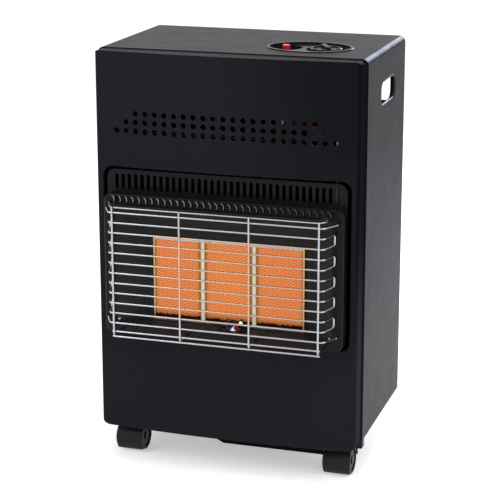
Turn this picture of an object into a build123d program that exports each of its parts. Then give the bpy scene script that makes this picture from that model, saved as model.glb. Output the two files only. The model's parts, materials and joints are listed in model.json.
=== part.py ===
from build123d import *
import os

# Portable gas cabinet heater: a folded steel cabinet on four twin-wheel casters, with a bowed
# front panel, an enamelled burner surround with a slotted visor, three ceramic burner plaques
# behind a bent wire guard, and a gas bottle bay behind them closed by a bulged rear door.
# Millimetres. +Z is up, the front faces -Y, and the origin lies on the floor in the middle.

os.makedirs("parts", exist_ok=True)

# ---- overall body ----
body_width = 460.0          # across the two folded side walls
body_depth = 270.0          # side wall, front edge to rear edge
body_top = 712.0            # floor to the top face
body_bottom = 71.0          # floor to the lower edge of the side walls
sheet = 1.0                 # cabinet sheet
fold_radius = 11.0          # outside radius of the two top folds
front_reach = 90.0          # from the side walls' front edge to the foremost wire
door_bulge = 48.0           # from the side walls' rear edge to the rear door's outside
flange_width = 18.0         # front and rear return flanges of the casing
seat = 0.3                  # small gap where one piece rests on another

wrap_front = front_reach - (front_reach + body_depth + door_bulge) / 2
wrap_rear = wrap_front + body_depth
inner_half = body_width / 2 - sheet

# ---- carrying cut-outs in the side walls ----
grip_length = 105.0
grip_height = 44.0
grip_corner = 16.0
grip_from_front = 145.0     # centre of the cut-out behind the front edge
grip_z = 639.0
grip_lip = 9.0              # depth of the folded-in lip

# ---- front panel ----
panel_side_gap = 2.5        # from the casing's outside in to the panel's returns, where they meet it
panel_taper = 3.5           # how far each return leans in on its way to the front
panel_root_width = body_width - 2 * panel_side_gap
panel_width = panel_root_width - 2 * panel_taper
panel_bottom = 60.0
panel_top = 710.5
panel_stand = 28.0          # how far the panel's edges stand in front of the casing
panel_bow = 11.0            # how much further the middle bows out
panel_edge_radius = 7.0
panel_top_corner = 11.0
panel_bottom_corner = 18.0
vent_hole = 9.6
vent_pitch = 16.9
vent_row_pitch = 14.6
vent_lowest_z = 580.0
vent_rows = (23, 21, 19)    # holes in each row, lowest row first

# ---- opening in the front panel ----
opening_margin = 10.0       # flat left beside the opening
opening_width = panel_width - 2 * opening_margin
opening_bottom = 232.0
opening_top = 520.0
opening_corner = 18.0
opening_rim = 9.0           # depth of the folded-in rim

# ---- burner surround ----
frame_side_gap = 8.5
frame_width = opening_width - 2 * frame_side_gap
frame_bottom = 236.0
frame_top = 513.5
frame_corner = 14.0
frame_sheet = 1.2
frame_back = 4.0            # the frame's rear edge lies this far in front of the casing edge
frame_face = 28.0           # the slotted upper face, in front of the casing edge
rim_face = 48.0             # the projecting lower rim, in front of the casing edge
rim_top = 476.0
rim_edge_radius = 3.0
rim_side = 18.5             # face of the rim beside its window
rim_open_width = frame_width - 2 * rim_side
rim_open_bottom = 253.0
rim_open_top = 457.0
slot_count = 35
slot_margin = 16.8          # from the frame's side to the end slots' middles
slot_pitch = (frame_width - 2 * slot_margin) / (slot_count - 1)
slot_width = 6.0
slot_height = 26.0
slot_z = 493.5

# ---- visor above the burner ----
visor_side = 16.5           # frame beside the visor
visor_width = frame_width - 2 * visor_side
visor_reach = 88.5          # its front edge, in front of the casing edge
visor_front_corner = 17.0
visor_back_z = 473.0
visor_front_z = 468.0
visor_crown = 3.2           # rise of the curved top above the straight line
visor_edge_z = 464.8        # lower edge of its turned-down wall
visor_sheet = 1.2
visor_slot_count = 34
visor_slot_width = 5.2
visor_slot_length = 31.0
visor_slot_slant = 27.0     # degrees in plan

# ---- wire guard ----
wire = 3.2
wire_weld = 0.6             # how far crossing wires sink into each other
guard_rows = 12
guard_row_pitch = 17.15
guard_top_z = 454.0
guard_front_side = 23.5     # from the frame's side in to the ends of the straight front runs
guard_ring_side = 13.5      # the same to the rear ends of the closed pairs
guard_hook_side = 8.5       # the same to the end wires' rear legs
guard_front_half = frame_width / 2 - guard_front_side
guard_ring_half = frame_width / 2 - guard_ring_side
guard_ring_back = 53.0      # rear end of the closed pairs, in front of the casing edge
guard_hook_half = frame_width / 2 - guard_hook_side
guard_bend = 5.0
guard_outer_upright = guard_front_half - 7.0
guard_inner_upright = 59.0
guard_upright_x = (-guard_outer_upright, -guard_inner_upright, guard_inner_upright, guard_outer_upright)
guard_leg_z = 244.1         # the uprights' lower legs
guard_leg_end = 42.0
guard_bar_rise = 6.5        # upper of the two lower bars, above the uprights' legs
guard_lip_side = 18.5       # from the frame's side in to the rear ends of the wire under the visor
guard_lip_bend = 14.0
wire_hole_gap = 0.4         # radial play of a wire in its hole

# ---- burner ----
plaque_width = 81.0
plaque_height = 141.0
plaque_thick = 13.0
plaque_gap = 8.5
plaque_bottom = 255.0
plaque_face = 12.0          # front face, in front of the casing edge
burner_wall = 1.2
burner_depth = 34.0
strip_height = 3.4

# ---- reflector box ----
reflector_sheet = 1.0
reflector_side = 1.0        # how far its walls lie behind the rim's window edge
reflector_front_half = rim_open_width / 2 - reflector_side
reflector_back_half = 141.0
reflector_front_top = 456.0
reflector_back_top = 408.0
reflector_floor = 251.0
reflector_back = 8.0        # rear wall, in front of the casing edge
reflector_flange = 5.0
pilot_window = (52.0, 22.0)

# ---- gas parts ----
tube_diameter = 18.0
tube_y = 39.5               # behind the casing's front edge
manifold_z = 236.0
manifold_diameter = 10.0
manifold_length = 230.0
injector_diameter = 8.0
pipe_diameter = 8.0
pilot_x = 15.0
pilot_y = -26.0             # in front of the casing's front edge
control_side = 96.0         # from the casing's outside in to the valve and its knob
valve_x = body_width / 2 - control_side
valve_y = 99.0
valve_body = (46.0, 40.0, 44.0)
bracket_shelf_z = 558.0
shield_y = 50.0
shield_top = 560.0
shield_foot = 12.0          # depth of its foot on the tray
spark_run_z = 592.0         # the lead's level run past the igniter
riser_beside = 38.0         # from the valve's middle out to the supply riser
riser_x = valve_x + riser_beside

# ---- controls ----
dish_beside = 25.0          # from the knob in to the dish's middle
dish_centre_x = valve_x - dish_beside
dish_y = 92.0
dish_length = 146.0
dish_width = 112.0
dish_depth = 12.0
dish_wall = 1.5
dish_rim = 3.0
dish_land = 3.0             # depth of the flat between the two round wells
knob_well = 66.0
button_well = 54.0
knob_diameter = 56.0
knob_height = 7.0
knob_travel = 4.0
spindle_diameter = 8.0
button_beside = 68.0        # from the knob in to the igniter button
button_x = valve_x - button_beside
button_y = 99.0
button_diameter = 12.6
button_height = 14.0
button_travel = 6.0
igniter_diameter = 20.0
running_gap = 0.05          # radial play of a running fit

# ---- base ----
tray_sheet = 1.2
tray_gap = 0.3
tray_lip = 14.0
platform_length = 220.0     # pressed-up bottle platform in the tray
platform_width = 176.0
platform_rise = 1.5
platform_corner = 30.0
platform_front_y = 74.0     # its front edge, behind the casing's front edge
skirt_front = 25.2          # front of the tray's apron, in front of the casing edge
skirt_bottom = 48.5
screw_pitch = 100.0         # between the screws of the tray's rear lip
plug_width = 12.0
plug_depth = 18.0

# ---- casters ----
caster_side = 44.0          # from the casing's outside in to the casters' stems
caster_rear_side = 105.0    # the same for the rear pair
caster_x = body_width / 2 - caster_side
caster_rear_x = body_width / 2 - caster_rear_side
caster_front_y = 40.0
caster_rear_y = 232.0
caster_trail = 14.0
caster_width = 48.0
wheel_diameter = 48.0
wheel_width = 16.5
caster_web = 12.0
axle_diameter = 6.0
stem_diameter = 8.0
socket_diameter = 14.0
socket_height = 24.0
socket_flange = 2.0
caster_boss_top = 68.4
hood_gap = 2.0
hood_wall = 2.5
hood_low = 5.0              # lower edge of the hood's front, above the floor
hood_waist = 1.8            # how much narrower the hood is at its top and bottom, each side

# ---- rear door ----
door_side = 13.0            # casing left beside the door's flat rim
door_half = body_width / 2 - door_side
door_bottom = 90.0
door_top = 598.0
door_wall = 1.0
door_rim = 10.0
door_taper = 20.0           # how far its walls lean in between the rim and the back
door_corner = 14.0
hinge_pin_diameter = 5.0
hinge_knuckle = 14.0
hinge_side = 4.5
hinge_x = hinge_side - body_width / 2
hinge_back = 5.0            # the pins' axis behind the casing's rear edge
hinge_heights = (150.0, 520.0)
louvre_rows = 9
louvre_pitch = 16.0
louvre_length = 130.0
louvre_height = 6.0
latch_side = 6.5
latch_x = body_width / 2 - latch_side
latch_z = 337.0
latch_grip = 8.5            # how far the turn button lies over the door's rim
latch_width = 9.0


def front_plane(ahead):
    """Upright plane at a distance in front of the casing's front edge, seen from the front."""
    return Plane.XZ.offset(ahead - wrap_front)


def finish(part, name):
    """Names a finished piece and writes it to its own file."""
    part.label = name
    export_step(part, "parts/" + name + ".step")
    print(name, round(part.volume), len(part.solids()))


def arch(width, top, bottom, radius):
    """Adds an upright rectangle with two rounded top corners to the sketch in progress."""
    with BuildSketch(mode=Mode.PRIVATE) as shape:
        with Locations((0, bottom)):
            Rectangle(width, top - bottom, align=(Align.CENTER, Align.MIN))
        fillet(shape.vertices().group_by(Axis.Y)[-1], radius)
    return shape.sketch


def upright_rounded(width, bottom, top, radius):
    """An upright rounded rectangle between two heights."""
    with BuildSketch(mode=Mode.PRIVATE) as shape:
        with Locations((0, (bottom + top) / 2)):
            RectangleRounded(width, top - bottom, radius)
    return shape.sketch


def bent_wire(points, bend, diameter, closed=False):
    """A round wire along straight runs joined by bends."""
    with BuildPart(mode=Mode.PRIVATE) as piece:
        with BuildLine() as path:
            FilletPolyline(*points, radius=bend, close=closed)
        with BuildSketch(path.line ^ 0):
            Circle(diameter / 2)
        sweep(path=path.line)
    return piece.part


# ================= cabinet =================

# Casing: top and side walls folded from one sheet, with return flanges at the front and rear.
with BuildPart() as casing:
    with BuildSketch(front_plane(0)):
        add(arch(body_width, body_top, body_bottom, fold_radius))
        add(arch(2 * inner_half, body_top - sheet, body_bottom, fold_radius - sheet), mode=Mode.SUBTRACT)
    extrude(amount=-body_depth)
    for start in (0, sheet - body_depth):
        with BuildSketch(front_plane(start)):
            add(arch(2 * inner_half + sheet, body_top - sheet / 2, body_bottom, fold_radius - sheet))
            add(
                arch(2 * (inner_half - flange_width), body_top - sheet - flange_width, body_bottom, 4),
                mode=Mode.SUBTRACT,
            )
        extrude(amount=-sheet)
    with BuildSketch(Plane.YZ):
        with Locations((wrap_front + grip_from_front, grip_z)):
            RectangleRounded(grip_length, grip_height, grip_corner)
    extrude(amount=body_width, both=True, mode=Mode.SUBTRACT)
    for side in (-1, 1):
        with BuildSketch(Plane.YZ.offset(side * inner_half)):
            with Locations((wrap_front + grip_from_front, grip_z)):
                RectangleRounded(grip_length + 2 * sheet, grip_height + 2 * sheet, grip_corner + sheet)
                RectangleRounded(grip_length, grip_height, grip_corner, mode=Mode.SUBTRACT)
        extrude(amount=-side * (grip_lip - sheet))
    with BuildSketch(Plane.XY.offset(body_top)):
        with Locations((dish_centre_x, wrap_front + dish_y)):
            Ellipse(dish_length / 2 - dish_rim, dish_width / 2 - dish_rim)
    extrude(amount=-2 * sheet, mode=Mode.SUBTRACT)
finish(casing.part, "casing_wrap")


def panel_block(inset):
    """The bowed front panel as a solid block, all outside faces moved inwards by an inset."""
    half = panel_width / 2 - inset
    root = panel_root_width / 2 - inset
    with BuildPart(mode=Mode.PRIVATE) as block:
        with BuildSketch(Plane.XY.offset(panel_bottom + inset)) as plan:
            with BuildLine():
                rear_left = (-root, wrap_front - seat)
                rear_right = (root, wrap_front - seat)
                front_left = (-half, wrap_front - panel_stand + inset)
                front_right = (half, wrap_front - panel_stand + inset)
                Polyline(front_left, rear_left, rear_right, front_right)
                ThreePointArc(front_right, (0, wrap_front - panel_stand - panel_bow + inset), front_left)
            make_face()
            fillet(plan.vertices().group_by(Axis.Y)[0], panel_edge_radius - inset)
        extrude(amount=panel_top - panel_bottom - 2 * inset)
        with BuildSketch(front_plane(0)) as face:
            add(arch(panel_root_width - 2 * inset, panel_top - inset, panel_bottom + inset, panel_top_corner))
            fillet(face.vertices().group_by(Axis.Y)[0], panel_bottom_corner - inset)
        extrude(amount=2 * front_reach, mode=Mode.INTERSECT)
    return block.part


def bowed_tool(shape, start, end):
    """An upright profile made into a block that runs from one distance ahead to another."""
    with BuildPart(mode=Mode.PRIVATE) as tool:
        with BuildSketch(front_plane(start)):
            add(shape)
        extrude(amount=end - start)
    return tool.part


# The base tray's front tongue passes between the casing's front flanges.
tongue_half = inner_half - flange_width - 1

# Front panel: a bowed pressing with return walls, three rows of vents and the burner opening.
panel_outer = panel_block(0)
opening_shape = upright_rounded(opening_width, opening_bottom, opening_top, opening_corner)
opening_hole = upright_rounded(
    opening_width - 2 * sheet, opening_bottom + sheet, opening_top - sheet, opening_corner - sheet
)
rim_tool = bowed_tool(opening_shape, panel_stand - opening_rim, front_reach)
with BuildPart() as panel:
    add(panel_outer)
    add(panel_block(sheet), mode=Mode.SUBTRACT)
    with BuildSketch(front_plane(0)):
        add(arch(panel_root_width - 2 * flange_width, panel_top - flange_width, panel_bottom - 1, 6))
    extrude(amount=4 * sheet, both=True, mode=Mode.SUBTRACT)
    with BuildSketch(Plane.XY.offset(panel_bottom - 1)):
        with Locations((0, wrap_front)):
            Rectangle(2 * (tongue_half + 1), skirt_front + 1, align=(Align.CENTER, Align.MAX))
    extrude(amount=3, mode=Mode.SUBTRACT)
    with BuildPart(mode=Mode.PRIVATE) as rim:
        add(rim_tool)
        add(panel_outer, mode=Mode.INTERSECT)
    add(rim.part)
    add(bowed_tool(opening_hole, 0, front_reach), mode=Mode.SUBTRACT)
    with BuildSketch(front_plane(panel_stand - 2)):
        for row, count in enumerate(vent_rows):
            with Locations((0, vent_lowest_z + row * vent_row_pitch)):
                with GridLocations(vent_pitch, 1, count, 1):
                    Circle(vent_hole / 2)
    extrude(amount=panel_bow + 10, mode=Mode.SUBTRACT)
finish(panel.part, "front_panel")

# Base tray: floor, turned-up lips, a narrower front tongue and the apron under the panel.
tray_half = inner_half - tray_gap
tray_floor = body_bottom + tray_sheet
tray_front = wrap_front - skirt_front
with BuildPart() as tray:
    with BuildSketch(Plane.XY.offset(body_bottom)):
        with Locations((0, wrap_front + sheet + tray_gap)):
            Rectangle(2 * tray_half, body_depth - 2 * sheet - 2 * tray_gap, align=(Align.CENTER, Align.MIN))
        with Locations((0, tray_front)):
            Rectangle(2 * tongue_half, skirt_front + 2 * sheet, align=(Align.CENTER, Align.MIN))
    extrude(amount=tray_sheet)
    for side in (-1, 1):
        with BuildSketch(Plane.YZ.offset(side * tray_half)):
            with Locations((wrap_front + sheet + tray_gap, body_bottom)):
                Rectangle(body_depth - 2 * sheet - 2 * tray_gap, tray_lip, align=(Align.MIN, Align.MIN))
        extrude(amount=-side * tray_sheet)
    with BuildSketch(Plane.XY.offset(body_bottom)):
        with Locations((0, wrap_rear - sheet - tray_gap)):
            Rectangle(2 * tray_half, tray_sheet, align=(Align.CENTER, Align.MAX))
    extrude(amount=tray_lip)
    with BuildSketch(front_plane(skirt_front)):
        with BuildLine():
            Polyline((-tongue_half, tray_floor), (-tongue_half, panel_bottom + 2), (-34, panel_bottom + 2),
                     (-5, skirt_bottom), (170, skirt_bottom), (170, panel_bottom + 2),
                     (tongue_half, panel_bottom + 2), (tongue_half, tray_floor), close=True)
        make_face()
    extrude(amount=-tray_sheet)
    with BuildSketch(Plane.XY.offset(body_bottom)):
        for x, y in ((caster_x, caster_front_y), (caster_rear_x, caster_rear_y)):
            with Locations((-x, wrap_front + y), (x, wrap_front + y)):
                Circle(socket_diameter / 2 + seat)
    extrude(amount=2 * tray_sheet, mode=Mode.SUBTRACT)
    with BuildSketch(Plane.XY.offset(body_bottom)):
        with Locations((0, wrap_front + platform_front_y + platform_width / 2)):
            RectangleRounded(platform_length, platform_width, platform_corner)
    extrude(amount=tray_sheet + platform_rise)
    with BuildSketch(Plane.XY.offset(body_bottom)):
        with Locations((0, wrap_front + platform_front_y + platform_width / 2)):
            RectangleRounded(
                platform_length - 2 * tray_sheet, platform_width - 2 * tray_sheet, platform_corner - tray_sheet
            )
    extrude(amount=platform_rise, mode=Mode.SUBTRACT)
finish(tray.part, "base_tray")

# Corner plugs under the casing's front lower corners.
with BuildPart() as plugs:
    for side in (-1, 1):
        with BuildSketch(Plane.XY.offset(body_bottom)):
            with Locations((side * (body_width - plug_width) / 2, wrap_front + plug_depth / 2)):
                RectangleRounded(plug_width, plug_depth, 4)
        extrude(amount=-16)
    fillet(plugs.faces().group_by(Axis.Z)[0].edges(), 3)
finish(plugs.part, "corner_plugs")

# Heat shield: upright sheet between the burner space and the bottle bay.
with BuildPart() as shield:
    with BuildSketch(front_plane(-shield_y)):
        with Locations((0, tray_floor)):
            Rectangle(2 * (tray_half - tray_sheet - seat), shield_top - tray_floor,
                      align=(Align.CENTER, Align.MIN))
    extrude(amount=-sheet)
    with BuildSketch(Plane.XY.offset(shield_top)):
        with Locations((0, wrap_front + shield_y)):
            Rectangle(2 * (tray_half - tray_sheet - seat), 16, align=(Align.CENTER, Align.MIN))
    extrude(amount=-sheet)
    with BuildSketch(Plane.XY.offset(tray_floor)):
        with Locations((0, wrap_front + shield_y)):
            Rectangle(2 * (tray_half - tray_sheet - seat), shield_foot, align=(Align.CENTER, Align.MIN))
    extrude(amount=sheet)
finish(shield.part, "heat_shield")

# ================= burner surround =================


def frame_block(inset):
    """The surround as a solid block: recessed upper face and projecting rim, moved in by an inset."""
    width = frame_width - 2 * inset
    corner = frame_corner - inset
    with BuildPart(mode=Mode.PRIVATE) as block:
        with BuildSketch(front_plane(frame_back - inset)):
            add(upright_rounded(width, frame_bottom + inset, frame_top - inset, corner))
        extrude(amount=frame_face - frame_back)
        with BuildSketch(front_plane(frame_back - inset)):
            add(upright_rounded(width, frame_bottom + inset, rim_top - inset, corner))
        extrude(amount=rim_face - frame_back)
        front = block.faces().group_by(Axis.Y)[0].edges()
        fillet(front, rim_edge_radius - inset)
    return block.part


# Surround: an enamelled pressing with 35 upright slots above its projecting rim.
rim_window = upright_rounded(rim_open_width, rim_open_bottom, rim_open_top, 5)
wire_hole = wire / 2 + wire_hole_gap
guard_last_z = guard_top_z - (guard_rows - 1) * guard_row_pitch
with BuildPart() as surround:
    add(frame_block(0))
    add(frame_block(frame_sheet), mode=Mode.SUBTRACT)
    add(bowed_tool(rim_window, frame_back + 4 * frame_sheet, front_reach), mode=Mode.SUBTRACT)
    with BuildSketch(front_plane(frame_face - 2 * frame_sheet)):
        with Locations((0, slot_z)):
            with GridLocations(slot_pitch, 1, slot_count, 1):
                SlotOverall(slot_height, slot_width, rotation=90)
    extrude(amount=4 * frame_sheet, mode=Mode.SUBTRACT)
    with BuildSketch(front_plane(rim_face - 2 * frame_sheet)):
        with Locations(*[(side * guard_hook_half, z) for side in (-1, 1) for z in (guard_top_z, guard_last_z)]):
            Circle(wire_hole)
        with Locations(*[(x, guard_leg_z) for x in guard_upright_x]):
            Circle(wire_hole)
    extrude(amount=4 * frame_sheet, mode=Mode.SUBTRACT)
finish(surround.part, "surround_frame")


def visor_block(inset):
    """The visor as a solid block under its curved top, moved inwards by an inset."""
    half = visor_width / 2 - inset
    reach = wrap_front - visor_reach + inset
    back = wrap_front - rim_face - seat
    middle_y = (back + reach) / 2
    middle_z = (visor_back_z + visor_front_z) / 2 + visor_crown - inset
    with BuildPart(mode=Mode.PRIVATE) as block:
        with BuildSketch(Plane.XY.offset(visor_edge_z - 1)) as plan:
            with BuildLine():
                Polyline((-half, back + inset), (-half + 5, reach), (half - 5, reach), (half, back + inset), close=True)
            make_face()
            fillet(plan.vertices().group_by(Axis.Y)[0], visor_front_corner - inset)
        extrude(amount=40)
        with BuildSketch(Plane.YZ.offset(-visor_width)):
            with BuildLine():
                ThreePointArc((back + inset, visor_back_z - inset), (middle_y, middle_z), (reach, visor_front_z - inset))
                Polyline((reach, visor_front_z - inset), (reach, visor_edge_z - inset),
                         (back + inset, visor_edge_z - inset), (back + inset, visor_back_z - inset))
            make_face()
        extrude(amount=2 * visor_width, mode=Mode.INTERSECT)
    return block.part


# Visor: pressed hood over the burner with slanted air slots.
visor_slot_pitch = slot_pitch
visor_slot_y = wrap_front - (rim_face + visor_reach) / 2 - 1.0
with BuildPart() as visor:
    add(visor_block(0))
    add(visor_block(visor_sheet), mode=Mode.SUBTRACT)
    with BuildSketch(Plane.XY.offset(visor_edge_z + 3.2)):
        with Locations((0, visor_slot_y)):
            with GridLocations(visor_slot_pitch, 1, visor_slot_count, 1):
                SlotOverall(visor_slot_length, visor_slot_width, rotation=90 + visor_slot_slant)
    extrude(amount=30, mode=Mode.SUBTRACT)
finish(visor.part, "visor")

# Wire guard: closed wire pairs and two end wires, four uprights and two bars, welded together.
upright_ahead = front_reach - wire / 2
row_ahead = upright_ahead - wire + wire_weld
row_y = wrap_front - row_ahead
ring_y = wrap_front - guard_ring_back
hook_y = wrap_front - rim_face - 9.0
hook_end_y = wrap_front - guard_leg_end
row_z = [guard_top_z - row * guard_row_pitch for row in range(guard_rows)]
with BuildPart() as guard:
    for z in (row_z[0], row_z[-1]):
        ends = [(-guard_hook_half, hook_end_y, z), (-guard_hook_half, hook_y, z), (-guard_front_half, row_y, z)]
        add(bent_wire(ends + [(-x, y, h) for x, y, h in reversed(ends)], guard_bend, wire))
    for upper, lower in zip(row_z[1:-1:2], row_z[2:-1:2]):
        over = [(-guard_ring_half, ring_y, upper), (-guard_front_half, row_y, upper),
                (guard_front_half, row_y, upper), (guard_ring_half, ring_y, upper)]
        under = [(x, y, lower) for x, y, h in reversed(over)]
        add(bent_wire(over + under, guard_bend, wire, closed=True))
    lip_z = visor_edge_z - seat - wire / 2
    lip_half = frame_width / 2 - guard_lip_side
    lip = [(-lip_half, wrap_front - rim_face - seat, lip_z), (5 - lip_half, row_y, lip_z)]
    add(bent_wire(lip + [(-x, y, h) for x, y, h in reversed(lip)], guard_lip_bend, wire))
    for x in guard_upright_x:
        add(bent_wire([(x, wrap_front - upright_ahead, lip_z + wire / 2), (x, wrap_front - upright_ahead, guard_leg_z),
                       (x, hook_end_y, guard_leg_z)], guard_bend, wire))
    bar_half = guard_upright_x[-1] + wire
    for ahead, z in ((upright_ahead - 3.6, guard_leg_z - wire + wire_weld), (row_ahead, guard_leg_z + guard_bar_rise)):
        with BuildSketch(Plane.YZ.offset(-bar_half)):
            with Locations((wrap_front - ahead, z)):
                Circle(wire / 2)
        extrude(amount=2 * bar_half)
finish(guard.part, "wire_guard")


def reflector_block(inset):
    """The reflector's tapered hollow as a solid, its four walls moved inwards by an inset."""
    front_top = reflector_front_top - inset
    back_top = reflector_back_top - inset
    floor = reflector_floor + inset
    with BuildPart(mode=Mode.PRIVATE) as block:
        with BuildSketch(front_plane(reflector_back)):
            with Locations((0, floor)):
                Rectangle(2 * (reflector_back_half - inset), back_top - floor, align=(Align.CENTER, Align.MIN))
        with BuildSketch(front_plane(rim_face - frame_sheet - seat)):
            with Locations((0, floor)):
                Rectangle(2 * (reflector_front_half - inset), front_top - floor, align=(Align.CENTER, Align.MIN))
        loft()
    return block.part


# Reflector: tapered sheet box round the burner, with a front flange and a rear wall.
burner_half = (3 * plaque_width + 2 * plaque_gap) / 2 + 0.3 + burner_wall
burner_low = plaque_bottom - 0.3 - burner_wall
burner_high = plaque_bottom + plaque_height + 0.3 + burner_wall
reflector_front = rim_face - frame_sheet - seat
with BuildPart() as reflector:
    add(reflector_block(0))
    with BuildSketch(front_plane(reflector_front)):
        with Locations((0, (reflector_floor + reflector_front_top) / 2)):
            Rectangle(2 * (reflector_front_half + reflector_flange),
                      reflector_front_top - reflector_floor + 2 * reflector_flange)
    extrude(amount=-reflector_sheet)
    add(reflector_block(reflector_sheet), mode=Mode.SUBTRACT)
    with BuildSketch(front_plane(reflector_back)):
        with Locations((0, (reflector_floor + reflector_back_top) / 2)):
            Rectangle(2 * reflector_back_half, reflector_back_top - reflector_floor)
        with Locations((0, (burner_low + burner_high) / 2)):
            Rectangle(2 * (burner_half + seat), burner_high - burner_low + 2 * seat, mode=Mode.SUBTRACT)
    extrude(amount=-reflector_sheet)
    with BuildSketch(Plane.XY.offset(reflector_floor)):
        with Locations((pilot_x, wrap_front + pilot_y)):
            Rectangle(*pilot_window)
    extrude(amount=2 * reflector_sheet, both=True, mode=Mode.SUBTRACT)
finish(reflector.part, "reflector")

# Burner body: open box behind the plaques, with a rear mounting flange and three tube collars.
plaque_step = plaque_width + plaque_gap
burner_front = plaque_face - 1.0
burner_rear = burner_front - burner_depth
tube_bend = 14.0
tube_entry_z = plaque_bottom + plaque_height - 26.0
with BuildPart() as burner:
    with BuildSketch(front_plane(burner_front)):
        with Locations((0, (burner_low + burner_high) / 2)):
            Rectangle(2 * burner_half, burner_high - burner_low)
    extrude(amount=-burner_depth)
    with BuildSketch(front_plane(burner_front)):
        with Locations((0, (burner_low + burner_high) / 2)):
            Rectangle(2 * (burner_half - burner_wall), burner_high - burner_low - 2 * burner_wall)
    extrude(amount=-(burner_depth - burner_wall), mode=Mode.SUBTRACT)
    with BuildSketch(front_plane(reflector_back - reflector_sheet - seat)):
        with Locations((0, (burner_low + burner_high) / 2)):
            Rectangle(2 * (burner_half + 6), burner_high - burner_low + 12)
            Rectangle(2 * (burner_half - burner_wall), burner_high - burner_low - 2 * burner_wall,
                      mode=Mode.SUBTRACT)
    extrude(amount=-burner_wall)
    with BuildSketch(front_plane(burner_rear + burner_wall)):
        with Locations((0, tube_entry_z)):
            with GridLocations(plaque_step, 1, 3, 1):
                Circle(tube_diameter / 2 - 1)
    extrude(amount=-2 * burner_wall, mode=Mode.SUBTRACT)
finish(burner.part, "burner_body")

# Three ceramic plaques, each a tile with a raised working field.
for index, name in enumerate(("plaque_left", "plaque_centre", "plaque_right")):
    with BuildPart() as plaque:
        with BuildSketch(front_plane(plaque_face - 1.0)):
            with Locations(((index - 1) * plaque_step, plaque_bottom + plaque_height / 2)):
                Rectangle(plaque_width, plaque_height)
        extrude(amount=1.0 - plaque_thick)
        with BuildSketch(front_plane(plaque_face - 1.0)):
            with Locations(((index - 1) * plaque_step, plaque_bottom + plaque_height / 2)):
                Rectangle(plaque_width - 6, plaque_height - 6)
        extrude(amount=1.0)
    finish(plaque.part, name)

# Ceramic-fibre strips between the plaques.
with BuildPart() as gaskets:
    with BuildSketch(front_plane(plaque_face)):
        with Locations((0, plaque_bottom + plaque_height / 2)):
            with GridLocations(plaque_step, 1, 2, 1):
                Rectangle(plaque_gap - 2 * seat, plaque_height)
    extrude(amount=-plaque_thick)
finish(gaskets.part, "plaque_gaskets")

# Retaining frame: bright strips that hold the plaques at the top and bottom, with small notches.
with BuildPart() as retainer:
    for low in (burner_high - strip_height, burner_low):
        with BuildSketch(front_plane(plaque_face + 1.3)):
            with Locations((0, low)):
                Rectangle(2 * burner_half, strip_height, align=(Align.CENTER, Align.MIN))
        extrude(amount=-1.0)
    for side in (-1, 1):
        with BuildSketch(front_plane(plaque_face + 1.3)):
            with Locations((side * (burner_half - 1.3), burner_low)):
                Rectangle(2.6, burner_high - burner_low, align=(Align.CENTER, Align.MIN))
        extrude(amount=-1.0)
    with BuildSketch(front_plane(plaque_face + 1.3)):
        with Locations((0, burner_high)):
            with GridLocations(2 * plaque_step * 0.36, 1, 2, 1):
                Rectangle(3, 3)
    extrude(amount=-2.0, mode=Mode.SUBTRACT)
    with BuildSketch(front_plane(burner_front + seat)):
        with Locations((0, (burner_low + burner_high) / 2)):
            Rectangle(2 * burner_half, burner_high - burner_low)
            Rectangle(2 * burner_half - 2 * burner_wall, burner_high - burner_low - 2 * burner_wall,
                      mode=Mode.SUBTRACT)
    extrude(amount=plaque_face + 1.3 - burner_front - seat - 0.5)
finish(retainer.part, "plaque_retainer")


# ================= gas train =================

# Mixing tubes: three bent tubes with flared mouths, from above the injectors into the burner body.
tube_mouth_z = manifold_z + manifold_diameter / 2 + 22.0
with BuildPart() as tubes:
    for index in (-1, 0, 1):
        x = index * plaque_step
        y = wrap_front + tube_y
        route = [(x, y, tube_mouth_z), (x, y, tube_entry_z), (x, wrap_front - burner_rear + seat, tube_entry_z)]
        add(bent_wire(route, tube_bend, tube_diameter))
        with BuildSketch(Plane.XY.offset(tube_mouth_z)):
            with Locations((x, y)):
                Circle(tube_diameter / 2 + 0.8)
        extrude(amount=8, taper=3)
        with BuildSketch(Plane.XY.offset(tube_mouth_z)):
            with Locations((x, y)):
                Circle(tube_diameter / 2 - 1.5)
        extrude(amount=tube_entry_z - tube_mouth_z - tube_bend, mode=Mode.SUBTRACT)
finish(tubes.part, "mixing_tubes")

# Gas manifold with three bosses, and the brass injectors that stand on them.
boss_top = manifold_z + manifold_diameter / 2 + 3.0
with BuildPart() as manifold:
    with BuildSketch(Plane.YZ.offset(-manifold_length / 2)):
        with Locations((wrap_front + tube_y, manifold_z)):
            Circle(manifold_diameter / 2)
    extrude(amount=manifold_length)
    with BuildSketch(Plane.XY.offset(manifold_z)):
        with Locations((0, wrap_front + tube_y)):
            with GridLocations(plaque_step, 1, 3, 1):
                Circle(injector_diameter / 2 + 0.8)
    extrude(amount=boss_top - manifold_z)
finish(manifold.part, "gas_manifold")

with BuildPart() as injectors:
    with BuildSketch(Plane.XY.offset(boss_top)):
        with Locations((0, wrap_front + tube_y)):
            with GridLocations(plaque_step, 1, 3, 1):
                RegularPolygon(injector_diameter / 2, 6)
    extrude(amount=6)
    with BuildSketch(Plane.XY.offset(boss_top + 6)):
        with Locations((0, wrap_front + tube_y)):
            with GridLocations(plaque_step, 1, 3, 1):
                Circle(2.6)
    extrude(amount=tube_mouth_z - boss_top - 6 + 2, taper=6)
finish(injectors.part, "injectors")

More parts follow.
